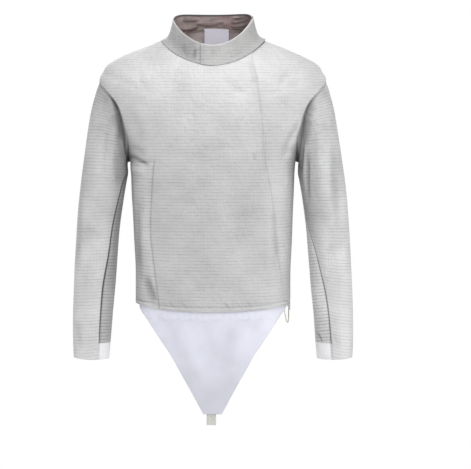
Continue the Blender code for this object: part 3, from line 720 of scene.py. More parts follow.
def part_of(cloth, rows=(0, None), columns=(0, None)):
    """A smaller grid cut out of a cloth."""
    r, c = slice(*rows), slice(*columns)
    return Cloth(cloth.points[r, c], cloth.normals[r, c], cloth.uv[r, c])


STITCH_LENGTH = 0.0027
STITCH_PITCH = 0.0035
THREAD_RADIUS = 0.00021
THREAD_SIDES = 5


def at_lengths(line, lengths):
    """Points and normals of a line at these lengths along it."""
    along = length_along(line.points, 0)
    points = np.stack([np.interp(lengths, along, line.points[:, k]) for k in range(3)], -1)
    normals = np.stack([np.interp(lengths, along, line.normals[:, k]) for k in range(3)], -1)
    return points, normals / np.linalg.norm(normals, axis=-1, keepdims=True)


def stitches(name, lines, material, radius=THREAD_RADIUS):
    """Rows of sewn thread: a short arched piece of thread for each stitch."""
    points, faces, start = [], [], 0
    ring = np.arange(THREAD_SIDES) * math.tau / THREAD_SIDES
    for line in lines:
        total = length_along(line.points, 0)[-1]
        count = int(total / STITCH_PITCH)
        middle = (np.arange(count) + 0.5) * total / count
        stops = middle[:, None] + np.array([-0.5, 0.0, 0.5]) * STITCH_LENGTH
        place, normal = at_lengths(line, stops)
        way = place[:, 2:] - place[:, :1]
        way = way / np.linalg.norm(way, axis=-1, keepdims=True)
        side = np.cross(way, normal)
        rise = radius * np.array([-0.2, 0.75, -0.2])[:, None]
        size = radius * np.array([0.6, 1.0, 0.6])[:, None]
        centre = place + normal * rise
        corners = (
            centre[:, :, None]
            + normal[:, :, None] * (size * np.sin(ring))[..., None]
            + side[:, :, None] * (size * np.cos(ring))[..., None]
        )
        points.append(corners.reshape(-1, 3))
        index = np.arange(start, start + corners.size // 3).reshape(count, 3, THREAD_SIDES)
        turned = np.roll(index, -1, 2)
        strips = (index[:, :-1], turned[:, :-1], turned[:, 1:], index[:, 1:])
        faces.append(np.stack(strips, -1).reshape(-1, 4))
        start += corners.size // 3
    return mesh_object(name, np.concatenate(points), np.concatenate(faces), [material])


class Graph:
    """Short ways to add shader nodes to a material. Values may be numbers or other nodes' outputs."""

    def __init__(self, name, colour, roughness, metallic=0.0, sheen=0.0):
        self.material = bpy.data.materials.new(name)
        self.material.use_nodes = True
        self.nodes = self.material.node_tree.nodes
        self.links = self.material.node_tree.links
        self.shader = self.nodes["Principled BSDF"]
        self.set(self.shader, "Base Color", (*colour, 1.0))
        self.set(self.shader, "Roughness", roughness)
        self.set(self.shader, "Metallic", metallic)
        self.set(self.shader, "Sheen Weight", sheen)

    def set(self, node, place, value):
        socket = node.inputs[place]
        if isinstance(value, bpy.types.NodeSocket):
            self.links.new(value, socket)
        else:
            socket.default_value = value

    def math(self, operation, *values):
        node = self.nodes.new("ShaderNodeMath")
        node.operation = operation
        for k, value in enumerate(values):
            self.set(node, k, value)
        return node.outputs[0]

    def place(self):
        """Place on the cloth in metres: across it, and along it."""
        uv = self.nodes.new("ShaderNodeUVMap")
        uv.uv_map = "cloth"
        split = self.nodes.new("ShaderNodeSeparateXYZ")
        self.links.new(uv.outputs[0], split.inputs[0])
        return split.outputs["X"], split.outputs["Y"]

    def vector(self, x, y, z=0.0):
        node = self.nodes.new("ShaderNodeCombineXYZ")
        for k, value in enumerate((x, y, z)):
            self.set(node, k, value)
        return node.outputs[0]

    def shade(self):
        node = self.nodes.new("ShaderNodeAttribute")
        node.attribute_name = "shade"
        return node.outputs["Fac"]

    def object_place(self):
        return self.nodes.new("ShaderNodeTexCoord").outputs["Object"]

    def noise(self, vector, scale, detail=2.0):
        node = self.nodes.new("ShaderNodeTexNoise")
        self.links.new(vector, node.inputs["Vector"])
        node.inputs["Scale"].default_value = scale
        node.inputs["Detail"].default_value = detail
        return node.outputs["Fac"]

    def ramp(self, value, low, high, from_low, from_high):
        node = self.nodes.new("ShaderNodeMapRange")
        for place, number in ((0, value), (1, from_low), (2, from_high), (3, low), (4, high)):
            self.set(node, place, number)
        return node.outputs[0]

    def mix(self, share, first, second):
        node = self.nodes.new("ShaderNodeMix")
        node.data_type = "RGBA"
        self.set(node, 0, share)
        for place, colour in ((6, first), (7, second)):
            is_socket = isinstance(colour, bpy.types.NodeSocket)
            self.set(node, place, colour if is_socket else (*colour, 1.0))
        return node.outputs[2]

    def bump(self, height, distance, strength=1.0):
        node = self.nodes.new("ShaderNodeBump")
        node.inputs["Distance"].default_value = distance
        node.inputs["Strength"].default_value = strength
        self.links.new(height, node.inputs["Height"])
        self.links.new(node.outputs[0], self.shader.inputs["Normal"])

    def colour(self, value):
        self.links.new(value, self.shader.inputs["Base Color"])

    def wave(self, place, pitch):
        """A wave from 0 to 1 with this pitch."""
        turned = self.math("MULTIPLY", place, math.tau / pitch)
        return self.math("MULTIPLY_ADD", self.math("SINE", turned), 0.5, 0.5)


RIB_PITCH = 0.0070
WEFT_PITCH = 0.0011
WARP_PITCH = 0.0009
LATTICE = 0.10
# Painted shade along the cloth, as dark at one place, dark at another and the two places: the body darker towards
# the hem, the sleeves darker towards the shoulder, the left under sleeve darker towards the cuff
PLAIN_TONE = (0.0, 0.0, 0.0, 1.0)
BODY_TONE = (0.22, 0.02, 0.27, 0.46)
SLEEVE_TONE = (0.08, 0.32, -0.55, -0.15)
LEFT_UNDER_TONE = (0.30, -0.10, -0.66, -0.50)


def lame(name, colour, shade, ribs=0.42, tone=PLAIN_TONE):
    """Metallic cloth with fine cross ribs, each of which is darker in places.

    The tone is painted shade: how dark the cloth is painted at one place along it and at another, and the two
    places. The shade attribute adds painted shade, near-black painted shadow where it is deepest, and a painted
    highlight where it is far below 0.
    """
    g = Graph(name, colour, LAME_ROUGHNESS, LAME_METALLIC, LAME_SHEEN)
    across, along = g.place()
    sway = g.noise(g.vector(across, along), 24.0)
    along = g.math("MULTIPLY_ADD", g.math("SUBTRACT", sway, 0.5), 0.0032, along)
    rib = g.math("DIVIDE", along, RIB_PITCH)
    number = g.math("FLOOR", rib)
    from_middle = g.math("ABSOLUTE", g.math("SUBTRACT", g.math("FRACT", rib), 0.5))
    line = g.ramp(from_middle, 1.0, 0.0, 0.03, 0.25)
    along_rib = g.vector(g.math("MULTIPLY", across, 1.0), g.math("MULTIPLY", number, 0.37))
    fade = g.ramp(g.noise(along_rib, 26.0, 3.0), 0.40, 1.0, 0.38, 0.60)
    dash = g.ramp(g.noise(g.vector(across, g.math("MULTIPLY", number, 0.21)), 150.0), 0.70, 1.0, 0.4, 0.6)
    line = g.math("MULTIPLY", line, g.math("MULTIPLY", fade, dash))
    patchy = g.ramp(g.noise(g.vector(across, along), 9.0, 2.0), 0.0, LATTICE, 0.45, 0.62)
    lattice = g.math("MULTIPLY", g.ramp(g.wave(across, RIB_PITCH), 0.0, 1.0, 0.70, 1.0), patchy)
    weft, warp = g.wave(along, WEFT_PITCH), g.wave(across, WARP_PITCH)
    weave = g.math("MULTIPLY", weft, g.math("MULTIPLY_ADD", warp, 0.4, 0.6))
    cloudy = g.noise(g.vector(across, along), 14.0, 4.0)
    slub = g.noise(g.vector(g.math("MULTIPLY", across, 0.12), along), 900.0, 2.0)
    dark = g.math("MULTIPLY", line, ribs)
    dark = g.math("ADD", dark, g.math("MULTIPLY", g.math("SUBTRACT", 1.0, weave), 0.16))
    dark = g.math("ADD", dark, g.ramp(cloudy, -0.14, 0.14, 0.3, 0.7))
    dark = g.math("ADD", dark, g.ramp(slub, -0.08, 0.08, 0.3, 0.7))
    # Painted shade along the cloth, from its tone
    dark = g.math("ADD", dark, g.ramp(along, *tone))
    # Painted shade and painted highlight from the shade attribute
    depth = g.shade()
    dark = g.math("ADD", g.math("ADD", dark, lattice), depth)
    cloth = g.mix(g.math("MAXIMUM", dark, 0.0), colour, shade)
    # Painted highlight: where the shade is far below 0 the colour turns towards a light rim colour
    cloth = g.mix(g.ramp(depth, 0.9, 0.0, -1.2, -0.55), cloth, PAINTED_RIM_HIGHLIGHT)
    # Painted shadow: the deepest shade turns the colour towards near black
    g.colour(g.mix(g.ramp(depth, 0.0, 0.85, 0.8, 1.4), cloth, PAINTED_SHADOW_BLACK))
    height = g.math("MULTIPLY_ADD", weave, 0.35, g.math("MULTIPLY", line, -0.6))
    crumple = g.noise(g.vector(g.math("MULTIPLY", across, 1.6), along), 70.0, 3.0)
    g.bump(g.math("MULTIPLY_ADD", crumple, 6.5, height), 0.00028)
    return g.material


def plain_cloth(name, colour, shade, roughness, sheen, pitch, bump, clouds=0.5):
    """Plain woven cloth, with its threads, a slight unevenness of colour, and the painted shade and highlight of
    its shade attribute.
    """
    g = Graph(name, colour, roughness, 0.0, sheen)
    across, along = g.place()
    weave = g.math("MULTIPLY", g.wave(along, pitch), g.wave(across, pitch))
    cloudy = g.ramp(g.noise(g.vector(across, along), 20.0, 4.0), 0.0, clouds, 0.3, 0.7)
    # Painted shade and painted highlight from the shade attribute
    dark = g.math("ADD", g.math("MULTIPLY_ADD", weave, -0.15, cloudy), g.shade())
    g.colour(g.mix(g.math("MAXIMUM", dark, 0.0), colour, shade))
    g.bump(weave, bump)
    return g.material


def lining_cloth(name, colour, shade, cast):
    """Taupe lining, creased a little, with a reddish cast in places, and with painted shade from its shade
    attribute.
    """
    g = Graph(name, colour, 0.85, 0.0, 0.1)
    across, along = g.place()
    flat = g.vector(across, g.math("MULTIPLY", along, 2.2))
    # Painted shade from the shade attribute, in the facing's creases, along its top edge and at its left end
    cloudy = g.math("ADD", g.ramp(g.noise(flat, 34.0, 5.0), 0.0, 1.0, 0.32, 0.68), g.shade())
    red = g.ramp(g.noise(flat, 21.0, 2.0), 0.0, 0.7, 0.60, 0.72)
    tone = g.mix(g.math("MAXIMUM", cloudy, 0.0), colour, shade)
    # Painted shadow: the darkest shade turns the colour towards near black
    g.colour(g.mix(g.ramp(g.shade(), 0.0, 0.8, 0.8, 1.6), g.mix(red, tone, cast), PAINTED_SHADOW_BLACK))
    weave = g.math("MULTIPLY", g.wave(along, 0.0008), g.wave(across, 0.0008))
    wrinkle = g.math("MULTIPLY", g.noise(flat, 90.0, 3.0), 2.0)
    g.bump(g.math("ADD", weave, wrinkle), 0.0004)
    return g.material


def webbing_cloth():
    """Narrow webbing with ribs across it."""
    g = Graph("ribbed webbing", WEBBING, 0.75, 0.0, 0.1)
    across, along = g.place()
    rib, warp = g.wave(along, 0.0021), g.wave(across, 0.0016)
    height = g.math("MULTIPLY", rib, g.math("MULTIPLY_ADD", warp, 0.3, 0.7))
    g.colour(g.mix(height, WEBBING_DARK, WEBBING))
    g.bump(height, 0.0005)
    return g.material


def fibre(name, colour, shade):
    """Thread or cord, mottled by its fibres."""
    g = Graph(name, colour, 0.8, 0.0, 0.1)
    fibres = g.noise(g.object_place(), 1800.0, 2.0)
    g.colour(g.mix(g.ramp(fibres, 0.0, 0.7, 0.35, 0.65), colour, shade))
    g.bump(fibres, 0.0001)
    return g.material


# Colours, some of them lit or shaded copies as painted light and shade, and how the metallic cloth takes the light
# Near black, for painted shadow in the deepest seams, at the armpits, under the collar's loose corner and along the
# facing's top edge
PAINTED_SHADOW_BLACK = (0.050, 0.050, 0.052)
# Light colour of the painted highlight along the collar's front rim
PAINTED_RIM_HIGHLIGHT = (0.580, 0.560, 0.570)
LAME = (0.580, 0.580, 0.578)
LAME_DARK = (0.300, 0.300, 0.306)
# Lighter and darker copies of the same lamé, as painted light and shade: lighter on the sleeves, darker on the
# collar and the side panel, darker under the right arm and lighter under the left
SLEEVE_LAME = (0.630, 0.630, 0.630)
SLEEVE_LAME_DARK = (0.300, 0.300, 0.306)
COLLAR_LAME = (0.400, 0.398, 0.396)
COLLAR_LAME_DARK = (0.170, 0.168, 0.170)
SIDE_LAME = (0.570, 0.570, 0.568)
SIDE_LAME_DARK = (0.260, 0.260, 0.266)
RIGHT_UNDER_LAME = (0.450, 0.450, 0.450)
RIGHT_UNDER_LAME_DARK = (0.180, 0.180, 0.186)
LEFT_UNDER_LAME = (0.740, 0.740, 0.740)
LEFT_UNDER_LAME_DARK = (0.300, 0.300, 0.306)
LAME_ROUGHNESS = 0.62
LAME_METALLIC = 0.2
LAME_SHEEN = 0.05
LINING = (0.610, 0.505, 0.480)
LINING_DARK = (0.270, 0.210, 0.200)
LINING_RED = (0.440, 0.250, 0.250)
# A lighter copy of the taupe lining for the inside of the body, as painted light against the shade that lies there
BODY_LINING = (0.900, 0.810, 0.790)
BODY_LINING_DARK = (0.780, 0.690, 0.670)
SATIN = (0.645, 0.652, 0.735)
SATIN_SHADE = (0.530, 0.536, 0.600)
PATCH_WHITE = (0.800, 0.800, 0.815)
PATCH_SHADE = (0.680, 0.680, 0.700)
LABEL = (0.640, 0.625, 0.710)
LABEL_SHADE = (0.560, 0.545, 0.640)
WEBBING = (0.600, 0.605, 0.560)
WEBBING_DARK = (0.500, 0.505, 0.470)
CORD = (0.640, 0.615, 0.530)
CORD_DARK = (0.420, 0.395, 0.320)
THREAD = (0.560, 0.560, 0.560)
THREAD_DARK = (0.430, 0.430, 0.430)
WHITE_THREAD = (0.740, 0.740, 0.780)
RED_THREAD = (0.380, 0.090, 0.100)

lame_cloth = lame("silver lame", LAME, LAME_DARK, tone=BODY_TONE)
# Copies of the lamé made lighter or darker as painted light and shade, some with a painted shade tone along them
sleeve_lame_cloth = lame("silver lame of the sleeves", SLEEVE_LAME, SLEEVE_LAME_DARK, 0.45, SLEEVE_TONE)
collar_lame_cloth = lame("silver lame of the collar", COLLAR_LAME, COLLAR_LAME_DARK, 0.36)
side_lame_cloth = lame("silver lame of the side panel", SIDE_LAME, SIDE_LAME_DARK, 0.55)
under_lame_cloth = {
    -1: lame("silver lame under the right arm", RIGHT_UNDER_LAME, RIGHT_UNDER_LAME_DARK, 0.7),
    1: lame("silver lame under the left arm", LEFT_UNDER_LAME, LEFT_UNDER_LAME_DARK, 0.65, LEFT_UNDER_TONE),
}
lining = lining_cloth("taupe lining", LINING, LINING_DARK, LINING_RED)
# Lit copy of the lining, as painted light, for the inside of the body
body_lining = lining_cloth("taupe lining of the body", BODY_LINING, BODY_LINING_DARK, BODY_LINING)
satin = plain_cloth("white satin", SATIN, SATIN_SHADE, 0.38, 0.15, 0.0005, 0.00005)
patch_cloth = plain_cloth("white patch cloth", PATCH_WHITE, PATCH_SHADE, 0.6, 0.1, 0.0012, 0.00025)
label_tape = plain_cloth("white label tape", LABEL, LABEL_SHADE, 0.6, 0.1, 0.0010, 0.00012, 0.2)
webbing = webbing_cloth()
cord_fibre = fibre("cream cord", CORD, CORD_DARK)
thread = fibre("grey thread", THREAD, THREAD_DARK)
white_thread = fibre("white thread", WHITE_THREAD, THREAD)
red_thread = fibre("red thread", RED_THREAD, LINING_RED)


def fade_from(cloth, points, reach):
    """0 on a line of points and 1 from this far away."""
    distance, _ = near(cloth, points)
    return smoothstep(distance / reach)


# The body's cloth, and the creases and seams on it
plain_front, plain_back = body_cloth()
RIGHT_ARMHOLE = plain_front.points[ARMPIT_ROW:TIP_ROW + 1, 0]
LEFT_ARMHOLE = plain_front.points[ARMPIT_ROW:TIP_ROW + 1, -1]
RIGHT_SIDE_SEAM = plain_front.points[:ARMPIT_ROW + 1, SEAM]
NECK_FRONT = plain_front.points[-1]
NECK_BACK = plain_back.points[-1]
UNDERARM_SEAM = plain_front.points[ARMPIT_ROW, :SEAM + 1]
BACK_LEFT_SEAM = plain_back.points[:ARMPIT_ROW + 1, BACK_LEFT]
BACK_RIGHT_SEAM = plain_back.points[:ARMPIT_ROW + 1, BACK_RIGHT]
LEFT_SHOULDER_SEAM = plain_front.points[TIP_ROW:, -1]
RIGHT_SHOULDER_SEAM = plain_front.points[TIP_ROW:, 0]
HEM_PUCKERS_Z = -0.566
HEM_PUCKER = 0.0016
HEM_GROOVE = 0.0006
HEM_GROOVE_PLACE = 0.0095
PUCKERED = ((-0.070, 0.032), (0.035, 0.016), (0.080, 0.009))
HEM_GROOVE_WIDTH = 0.0016


def hem_puckers(cloth, seed):
    """Short uneven puckers along the hem's stitches, more of them in some places."""
    x, z = cloth.points[..., 0], cloth.points[..., 2]
    band = np.exp(-(((z - HEM_PUCKERS_Z) / 0.010) ** 2))
    crowd = 0.2 + sum(0.8 * np.exp(-(((x - middle) / width) ** 2)) for middle, width in PUCKERED)
    puckers = HEM_PUCKER * band * crowd * uneven(x + 0.9 * z, 0.013, seed + 2)
    above = length_along(cloth.points, 0)
    groove = -HEM_GROOVE * np.exp(-(((above - HEM_GROOVE_PLACE) / HEM_GROOVE_WIDTH) ** 2))
    return puckers + groove * (0.7 + 0.5 * uneven(x, 0.05, seed))


def hem_shade(cloth, seed):
    """Painted shade along the hem's stitched groove, and a painted highlight on the edge that is rolled below it.
    """
    x, above = cloth.points[..., 0], length_along(cloth.points, 0)
    line = np.exp(-(((above - HEM_GROOVE_PLACE) / HEM_GROOVE_WIDTH) ** 2))
    edge = np.exp(-(((above - HEM_GROOVE_PLACE / 2) / HEM_GROOVE_WIDTH) ** 2))
    return 0.30 * line * (0.8 + 0.4 * uneven(x, 0.04, seed)) - 0.20 * edge


def body_height(cloth, creases, seams, seed):
    height = creased(cloth, creases) + soft_waves(cloth, seed) + hem_puckers(cloth, seed)
    for k, line in enumerate(seams):
        height += seam_dip(cloth, line, seed + k)
    for line in (RIGHT_ARMHOLE, LEFT_ARMHOLE):
        height *= fade_from(cloth, line, 0.006)
    return height


front_height = body_height(
    plain_front, FRONT_CREASES,
    (RIGHT_SIDE_SEAM, UNDERARM_SEAM, LEFT_SHOULDER_SEAM, RIGHT_SHOULDER_SEAM, NECK_FRONT), 1.3,
)
back_height = body_height(
    plain_back, BACK_CREASES,
    (BACK_LEFT_SEAM, BACK_RIGHT_SEAM, LEFT_SHOULDER_SEAM, RIGHT_SHOULDER_SEAM, NECK_BACK), 4.1,
)


def join_heights(first, second, columns):
    """The first height made to meet the second one at its outer columns."""
    reach = np.arange(columns) / columns
    ease = 1 - smoothstep(reach)
    first[:, :columns] += (second[0] - first[:, 0])[:, None] * ease
    first[:, -columns:] += (second[1] - first[:, -1])[:, None] * ease[::-1]


join_heights(back_height, (front_height[:, -1], front_height[:, 0]), 8)
# Lines along which painted shadow is drawn: the closure's edge, and the body under the collar's loose lower corner
CLOSURE_EDGE = plain_front.points[:, CLOSURE]
LOOSE_CORNER = plain_front.points[-1, CLOSURE + 14:]
# Painted shade in the front's troughs, and painted shadow lines along the right side seam, the closure's edge and
# under the collar's loose corner
shaded_front = shaded(
    plain_front, front_height,
    (RIGHT_SIDE_SEAM, 0.55), (CLOSURE_EDGE, 0.30), (LOOSE_CORNER, (1.0, 4.0)),
)
# Painted shade in the back's troughs, weaker than on the front, and painted shadow lines along its seams
shaded_back = shaded(plain_back, 0.4 * back_height, (BACK_LEFT_SEAM, 0.5), (BACK_RIGHT_SEAM, 0.5))
# Painted shade along the hem's groove and a painted highlight on its rolled edge
shaded_front.shade[:] += hem_shade(plain_front, 1)
shaded_back.shade[:] += hem_shade(plain_back, 2)
front = moved(shaded_front, front_height)
back = moved(shaded_back, back_height)


def lapped(cloth, rise, start, stop):
    """Cloth that lifts between two columns, to lie on the layer below it from there on."""
    columns = np.arange(cloth.points.shape[1])
    return moved(cloth, rise * smoothstep((columns - start) / (stop - start)))


LAP_RISE = WALL + LYING_GAP
LIFT_COLUMNS = 24
BULGE_Z = -0.080
BULGE = 0.0016
bulging = 1 + BULGE / LAP_RISE * np.exp(-(((front.points[..., 2] - BULGE_Z) / 0.014) ** 2))
front_lap = lapped(front, LAP_RISE * bulging, LAP_START - LIFT_COLUMNS, LAP_START)
SEAM_LIP = 0.0011
SEAM_LIP_WIDTH = 0.0040


def lip(cloth, *lines):
    """How far a layer stands up at the seams where it is folded over the next piece."""
    distance = np.min([near(cloth, line)[0] for line in lines], axis=0)
    return SEAM_LIP * np.exp(-((distance / SEAM_LIP_WIDTH) ** 2))


side_seam_lip = lip(front, front.points[:ARMPIT_ROW + 1, SEAM])
side_seam_lip *= smoothstep((ARMPIT_ROW - np.arange(len(side_seam_lip))) / 6)[:, None]
front_lap = moved(front_lap, side_seam_lip)
side_front = moved(front, -side_seam_lip)

# The sleeves
plain_sleeve = {side: sleeve_cloth(side) for side in (-1, 1)}
SIDE_WORD = {-1: "right", 1: "left"}
ARMHOLE_TROUGH_WIDTH = 0.0030
ARMHOLE_TROUGH_PLACE = 0.0060
# Painted shade: a broad band beside each armhole, the dark lines along the front seams, and near-black painted
# shadow at the armpit, with their reaches
ARMHOLE_SHADE = {-1: 0.32, 1: 0.04}
FRONT_SEAM_SHADE = {-1: (14, 1.2), 1: (1.4, 1.2)}
ARMHOLE_SHADE_REACH = 0.045
ARMPIT_SHADE = 1.9
ARMPIT_SHADE_REACH = 0.005


def lowness(cloth, place):
    """0 at the top of a sleeve's armhole, and 1 at the armpit."""
    round_armhole = length_along(cloth.points[0], 0)[-1]
    return 0.5 - 0.5 * np.cos(math.tau * place / round_armhole)


def sleeve_height(side):
    cloth = plain_sleeve[side]
    word = SIDE_WORD[side]
    is_front = cloth.normals[..., 1] < 0
    facing = smoothstep(0.5 + 2.5 * np.abs(cloth.normals[..., 1]))
    creases = np.where(
        is_front,
        creased(cloth, SLEEVE_CREASES[word, "front"]),
        creased(cloth, SLEEVE_CREASES[word, "back"]),
    )
    height = creases * smoothstep(np.abs(cloth.normals[..., 1]) * 3)
    height += soft_waves(cloth, 2.2 + side) * facing
    distance, place = near(cloth, cloth.points[0])
    low = lowness(cloth, place) ** 0.7
    trough = np.exp(-(((distance - ARMHOLE_TROUGH_PLACE) / ARMHOLE_TROUGH_WIDTH) ** 2))
    height -= (0.0010 + 0.0065 * low) * trough
    height -= 0.0045 * low * np.exp(-(((distance - 0.014) / 0.014) ** 2))
    height += 0.0010 * uneven(place, 0.060, 3 + side) * np.exp(-(((distance - 0.018) / 0.012) ** 2))
    for k, column in enumerate(UNDER):
        height += seam_dip(cloth, cloth.points[:, column], 5 + k + side)
    cuff, _ = near(cloth, cloth.points[-1])
    height += 0.0004 * uneven(cloth.uv[..., 0], 0.030, side) * np.exp(-(((cuff - 0.012) / 0.006) ** 2))
    height *= smoothstep(distance / 0.0045)
    height[:, -1] = height[:, 0]
    return height


def finished_sleeve(side):
    cloth, height = plain_sleeve[side], sleeve_height(side)
    front_seam, back_seam = (cloth.points[12:PATCH_ROW + 1, column] for column in UNDER)
    # Painted shade in the sleeve's troughs, painted shadow lines along its seams, a painted shade band by the
    # armhole and near-black painted shadow at the armpit
    result = shaded(cloth, height, (front_seam, FRONT_SEAM_SHADE[side]), (back_seam, 0.6))
    distance, place = near(cloth, cloth.points[0])
    result.shade[:] += ARMHOLE_SHADE[side] * np.exp(-((distance / ARMHOLE_SHADE_REACH) ** 2))
    armpit = lowness(cloth, place) ** 4 * np.exp(-((distance / ARMPIT_SHADE_REACH) ** 2))
    result.shade[:] = np.maximum(result.shade, ARMPIT_SHADE * armpit)
    return moved(result, height)


sleeve = {side: finished_sleeve(side) for side in (-1, 1)}

# The collar
plain_collar_front, plain_collar_back = collar_cloth()
COLLAR_FRONT_SEAM = plain_collar_front.points[:, COLLAR_SEAM]


def collar_height(cloth, creases, seams, seed):
    height = creased(cloth, creases) + soft_waves(cloth, seed, 0.0003)
    for k, line in enumerate(seams):
        height += seam_dip(cloth, line, seed + k, depth=0.0004)
    return height


# Painted shade on the collar's right front, strongest at this x
COLLAR_SHADE = 0.30
COLLAR_SHADE_X = -0.050
collar_front_height = collar_height(plain_collar_front, COLLAR_CREASES, (COLLAR_FRONT_SEAM,), 0.7)
collar_back_height = collar_height(plain_collar_back, [], (), 1.9)
join_heights(collar_back_height, (collar_front_height[:, -1], collar_front_height[:, 0]), 8)
# Painted highlight along the collar's front rim, as a shade below 0, and its width
COLLAR_RIM_HIGHLIGHT = -1.2
COLLAR_RIM_WIDTH = 0.0017
COLLAR_PROUD = 0.0008
COLLAR_PROUD_LENGTH = 0.004


def at_rim(cloth, width):
    """1 along the top edge of a cloth, and less further down."""
    below = length_along(cloth.points[::-1], 0)[::-1]
    return np.exp(-((below / width) ** 2))


def proud(cloth):
    """The collar's lower edge stands a little off the body, over the seam that holds it."""
    above = length_along(cloth.points, 0)
    return COLLAR_PROUD * np.exp(-((above / COLLAR_PROUD_LENGTH) ** 2))


# Painted shade in the collar's creases and along its front seam, a painted shade patch on its right front and a
# painted highlight along its rim
shaded_collar_front = shaded(plain_collar_front, 2 * collar_front_height, (COLLAR_FRONT_SEAM, 0.6))
collar_x = plain_collar_front.points[..., 0]
shaded_collar_front.shade[:] += COLLAR_SHADE * np.exp(-(((collar_x - COLLAR_SHADE_X) / 0.024) ** 2))
shaded_collar_front.shade[:] += COLLAR_RIM_HIGHLIGHT * at_rim(plain_collar_front, COLLAR_RIM_WIDTH)
shaded_collar_back = shaded(plain_collar_back, 2 * collar_back_height)
collar_front = moved(shaded_collar_front, collar_front_height + proud(plain_collar_front))
collar_back = moved(shaded_collar_back, collar_back_height + proud(plain_collar_back))

ALL = (0, None)
LOW = (0, ARMPIT_ROW)
HIGH = (ARMPIT_ROW, None)
FRONT_END = sum(FRONT_COUNTS)
BACK_END = sum(BACK_COUNTS)


def dress(obj, node):
    """Hangs a piece of cloth on the frame in place of its solid."""
    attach(obj, "root")
    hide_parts(node)


pieces = {}


def add(node, slot, blocks, thickness, flat, outer, inner=None, **options):
    """One cut piece: its shell, put in place of its solid."""
    held = options.pop("held", "hung")
    area = options.pop("area", None)
    obj = shell(f"{node}_cloth", blocks, thickness, outer, inner, **options)
    dress(obj, node)
    pieces[node] = obj


add(
    "front_panel", "lame",
    [block(
        front_lap, (LOW, (SEAM, CLOSURE)), (HIGH, (0, CLOSURE)),
        free=(("row", 0), ("column", SEAM), ("column", CLOSURE)),
    )],
    WALL, (0.42, 0.61), lame_cloth, body_lining, area=0.172,
)
add(
    "left_front_panel", "lame",
    [
        block(front, (ALL, (LAP_START, FRONT_END)), free=(("row", 0), ("column", LAP_START))),
        block(back, (LOW, (0, BACK_LEFT)), free=(("row", 0),)),
    ],
    WALL, (0.25, 0.61), lame_cloth, body_lining, area=0.102,
)
add(
    "right_side_panel", "lame",
    [
        block(side_front, (LOW, (0, SEAM)), free=(("row", 0),)),
        block(back, (LOW, (BACK_RIGHT, BACK_END)), free=(("row", 0),)),
    ],
    WALL, (0.19, 0.32), side_lame_cloth, body_lining, area=0.059,
)
add(
    "back_panel", "lame",
    [block(back, (LOW, (BACK_LEFT, BACK_RIGHT)), (HIGH, ALL), free=(("row", 0),))],
    WALL, (0.50, 0.62), lame_cloth, body_lining, area=0.235,
)

sleeve_end = PATCH_ROW + SLEEVE_CUFF_ROWS
for side, word in SIDE_WORD.items():
    whole = sleeve[side]
    rise = lip(whole, *(whole.points[:, column] for column in UNDER))
    rise *= smoothstep(np.arange(len(rise)) / 12)[:, None]
    cloth, over = moved(whole, -rise), moved(whole, rise)
    cuff = (("row", sleeve_end),)
    flipped = side < 0
    seams = tuple(("column", column) for column in UNDER)
    add(
        f"{word}_sleeve", "lame",
        [block(over, (ALL, (0, UNDER[0])), (ALL, (UNDER[1], None)), free=cuff + seams)],
        WALL, (0.36, 0.62), sleeve_lame_cloth, body_lining, area=0.132, flipped=flipped,
    )
    add(
        f"{word}_under_sleeve", "under_sleeve_lame",
        [block(cloth, ((0, PATCH_ROW), UNDER))],
        WALL, (0.12, 0.46), under_lame_cloth[side], body_lining, area=0.039, flipped=flipped,
    )
    add(
        f"{word}_cuff_patch", "white_cloth",
        [block(cloth, ((PATCH_ROW, None), UNDER), free=cuff)],
        WALL, (0.092, 0.045), patch_cloth, body_lining, area=0.0039, flipped=flipped,
    )

# The collar: its lap lies over the rest, and its loose lower corner stands off at the left
COLLAR_LAP_RISE = COLLAR_WALL + LYING_GAP
LOOSE_EDGE = 0.0008
LOOSE_HEIGHT = 0.010
BACK_LAP = FINE


def collar_lapped(cloth, start, stop, loose_from, loose_to):
    rise = COLLAR_LAP_RISE
    above = length_along(cloth.points, 0)
    columns = np.arange(cloth.points.shape[1])
    loose = smoothstep((columns - loose_from) / (loose_to - loose_from))
    lift = LOOSE_EDGE * loose * np.exp(-((above / LOOSE_HEIGHT) ** 2))
    lifted = rise * smoothstep((columns - start) / (stop - start)) + lift
    return moved(cloth, lifted)


lap_front = collar_lapped(
    collar_front, LAP_START - LIFT_COLUMNS, LAP_START, CLOSURE, CLOSURE + LIFT_COLUMNS
)
lap_back = collar_lapped(collar_back, -2, -1, -2, -1)
RIM = ("row", COLLAR_ROWS)
BASE = ("row", 0)
add(
    "collar", "lame",
    [
        block(collar_front, (ALL, (0, COLLAR_SEAM)), (ALL, (LAP_START, FRONT_END)), free=(RIM,)),
        block(collar_back, (ALL, ALL), free=(RIM,)),
    ],
    COLLAR_WALL, (0.50, 0.055), collar_lame_cloth, collar_lame_cloth, area=0.0215,
)
add(
    "collar_lap", "lame",
    [
        block(lap_front, (ALL, (COLLAR_SEAM, FRONT_END)), free=(RIM, BASE)),
        block(lap_back, (ALL, (0, BACK_LAP)), free=(RIM, BASE, ("column", BACK_LAP))),
    ],
    COLLAR_WALL, (0.20, 0.05), collar_lame_cloth, collar_lame_cloth,
)

FACING_INSET = COLLAR_WALL + LYING_GAP
# Painted shadow along the facing's top edge and painted shade at its left end, with their width and start
FACING_RIM_SHADE = 2.8
FACING_RIM_WIDTH = 0.0022
FACING_END_SHADE = 1.1
facing_back_height = collar_back_height + creased(plain_collar_back, FACING_CREASES)
facing_front = moved(plain_collar_front, collar_front_height - FACING_INSET)
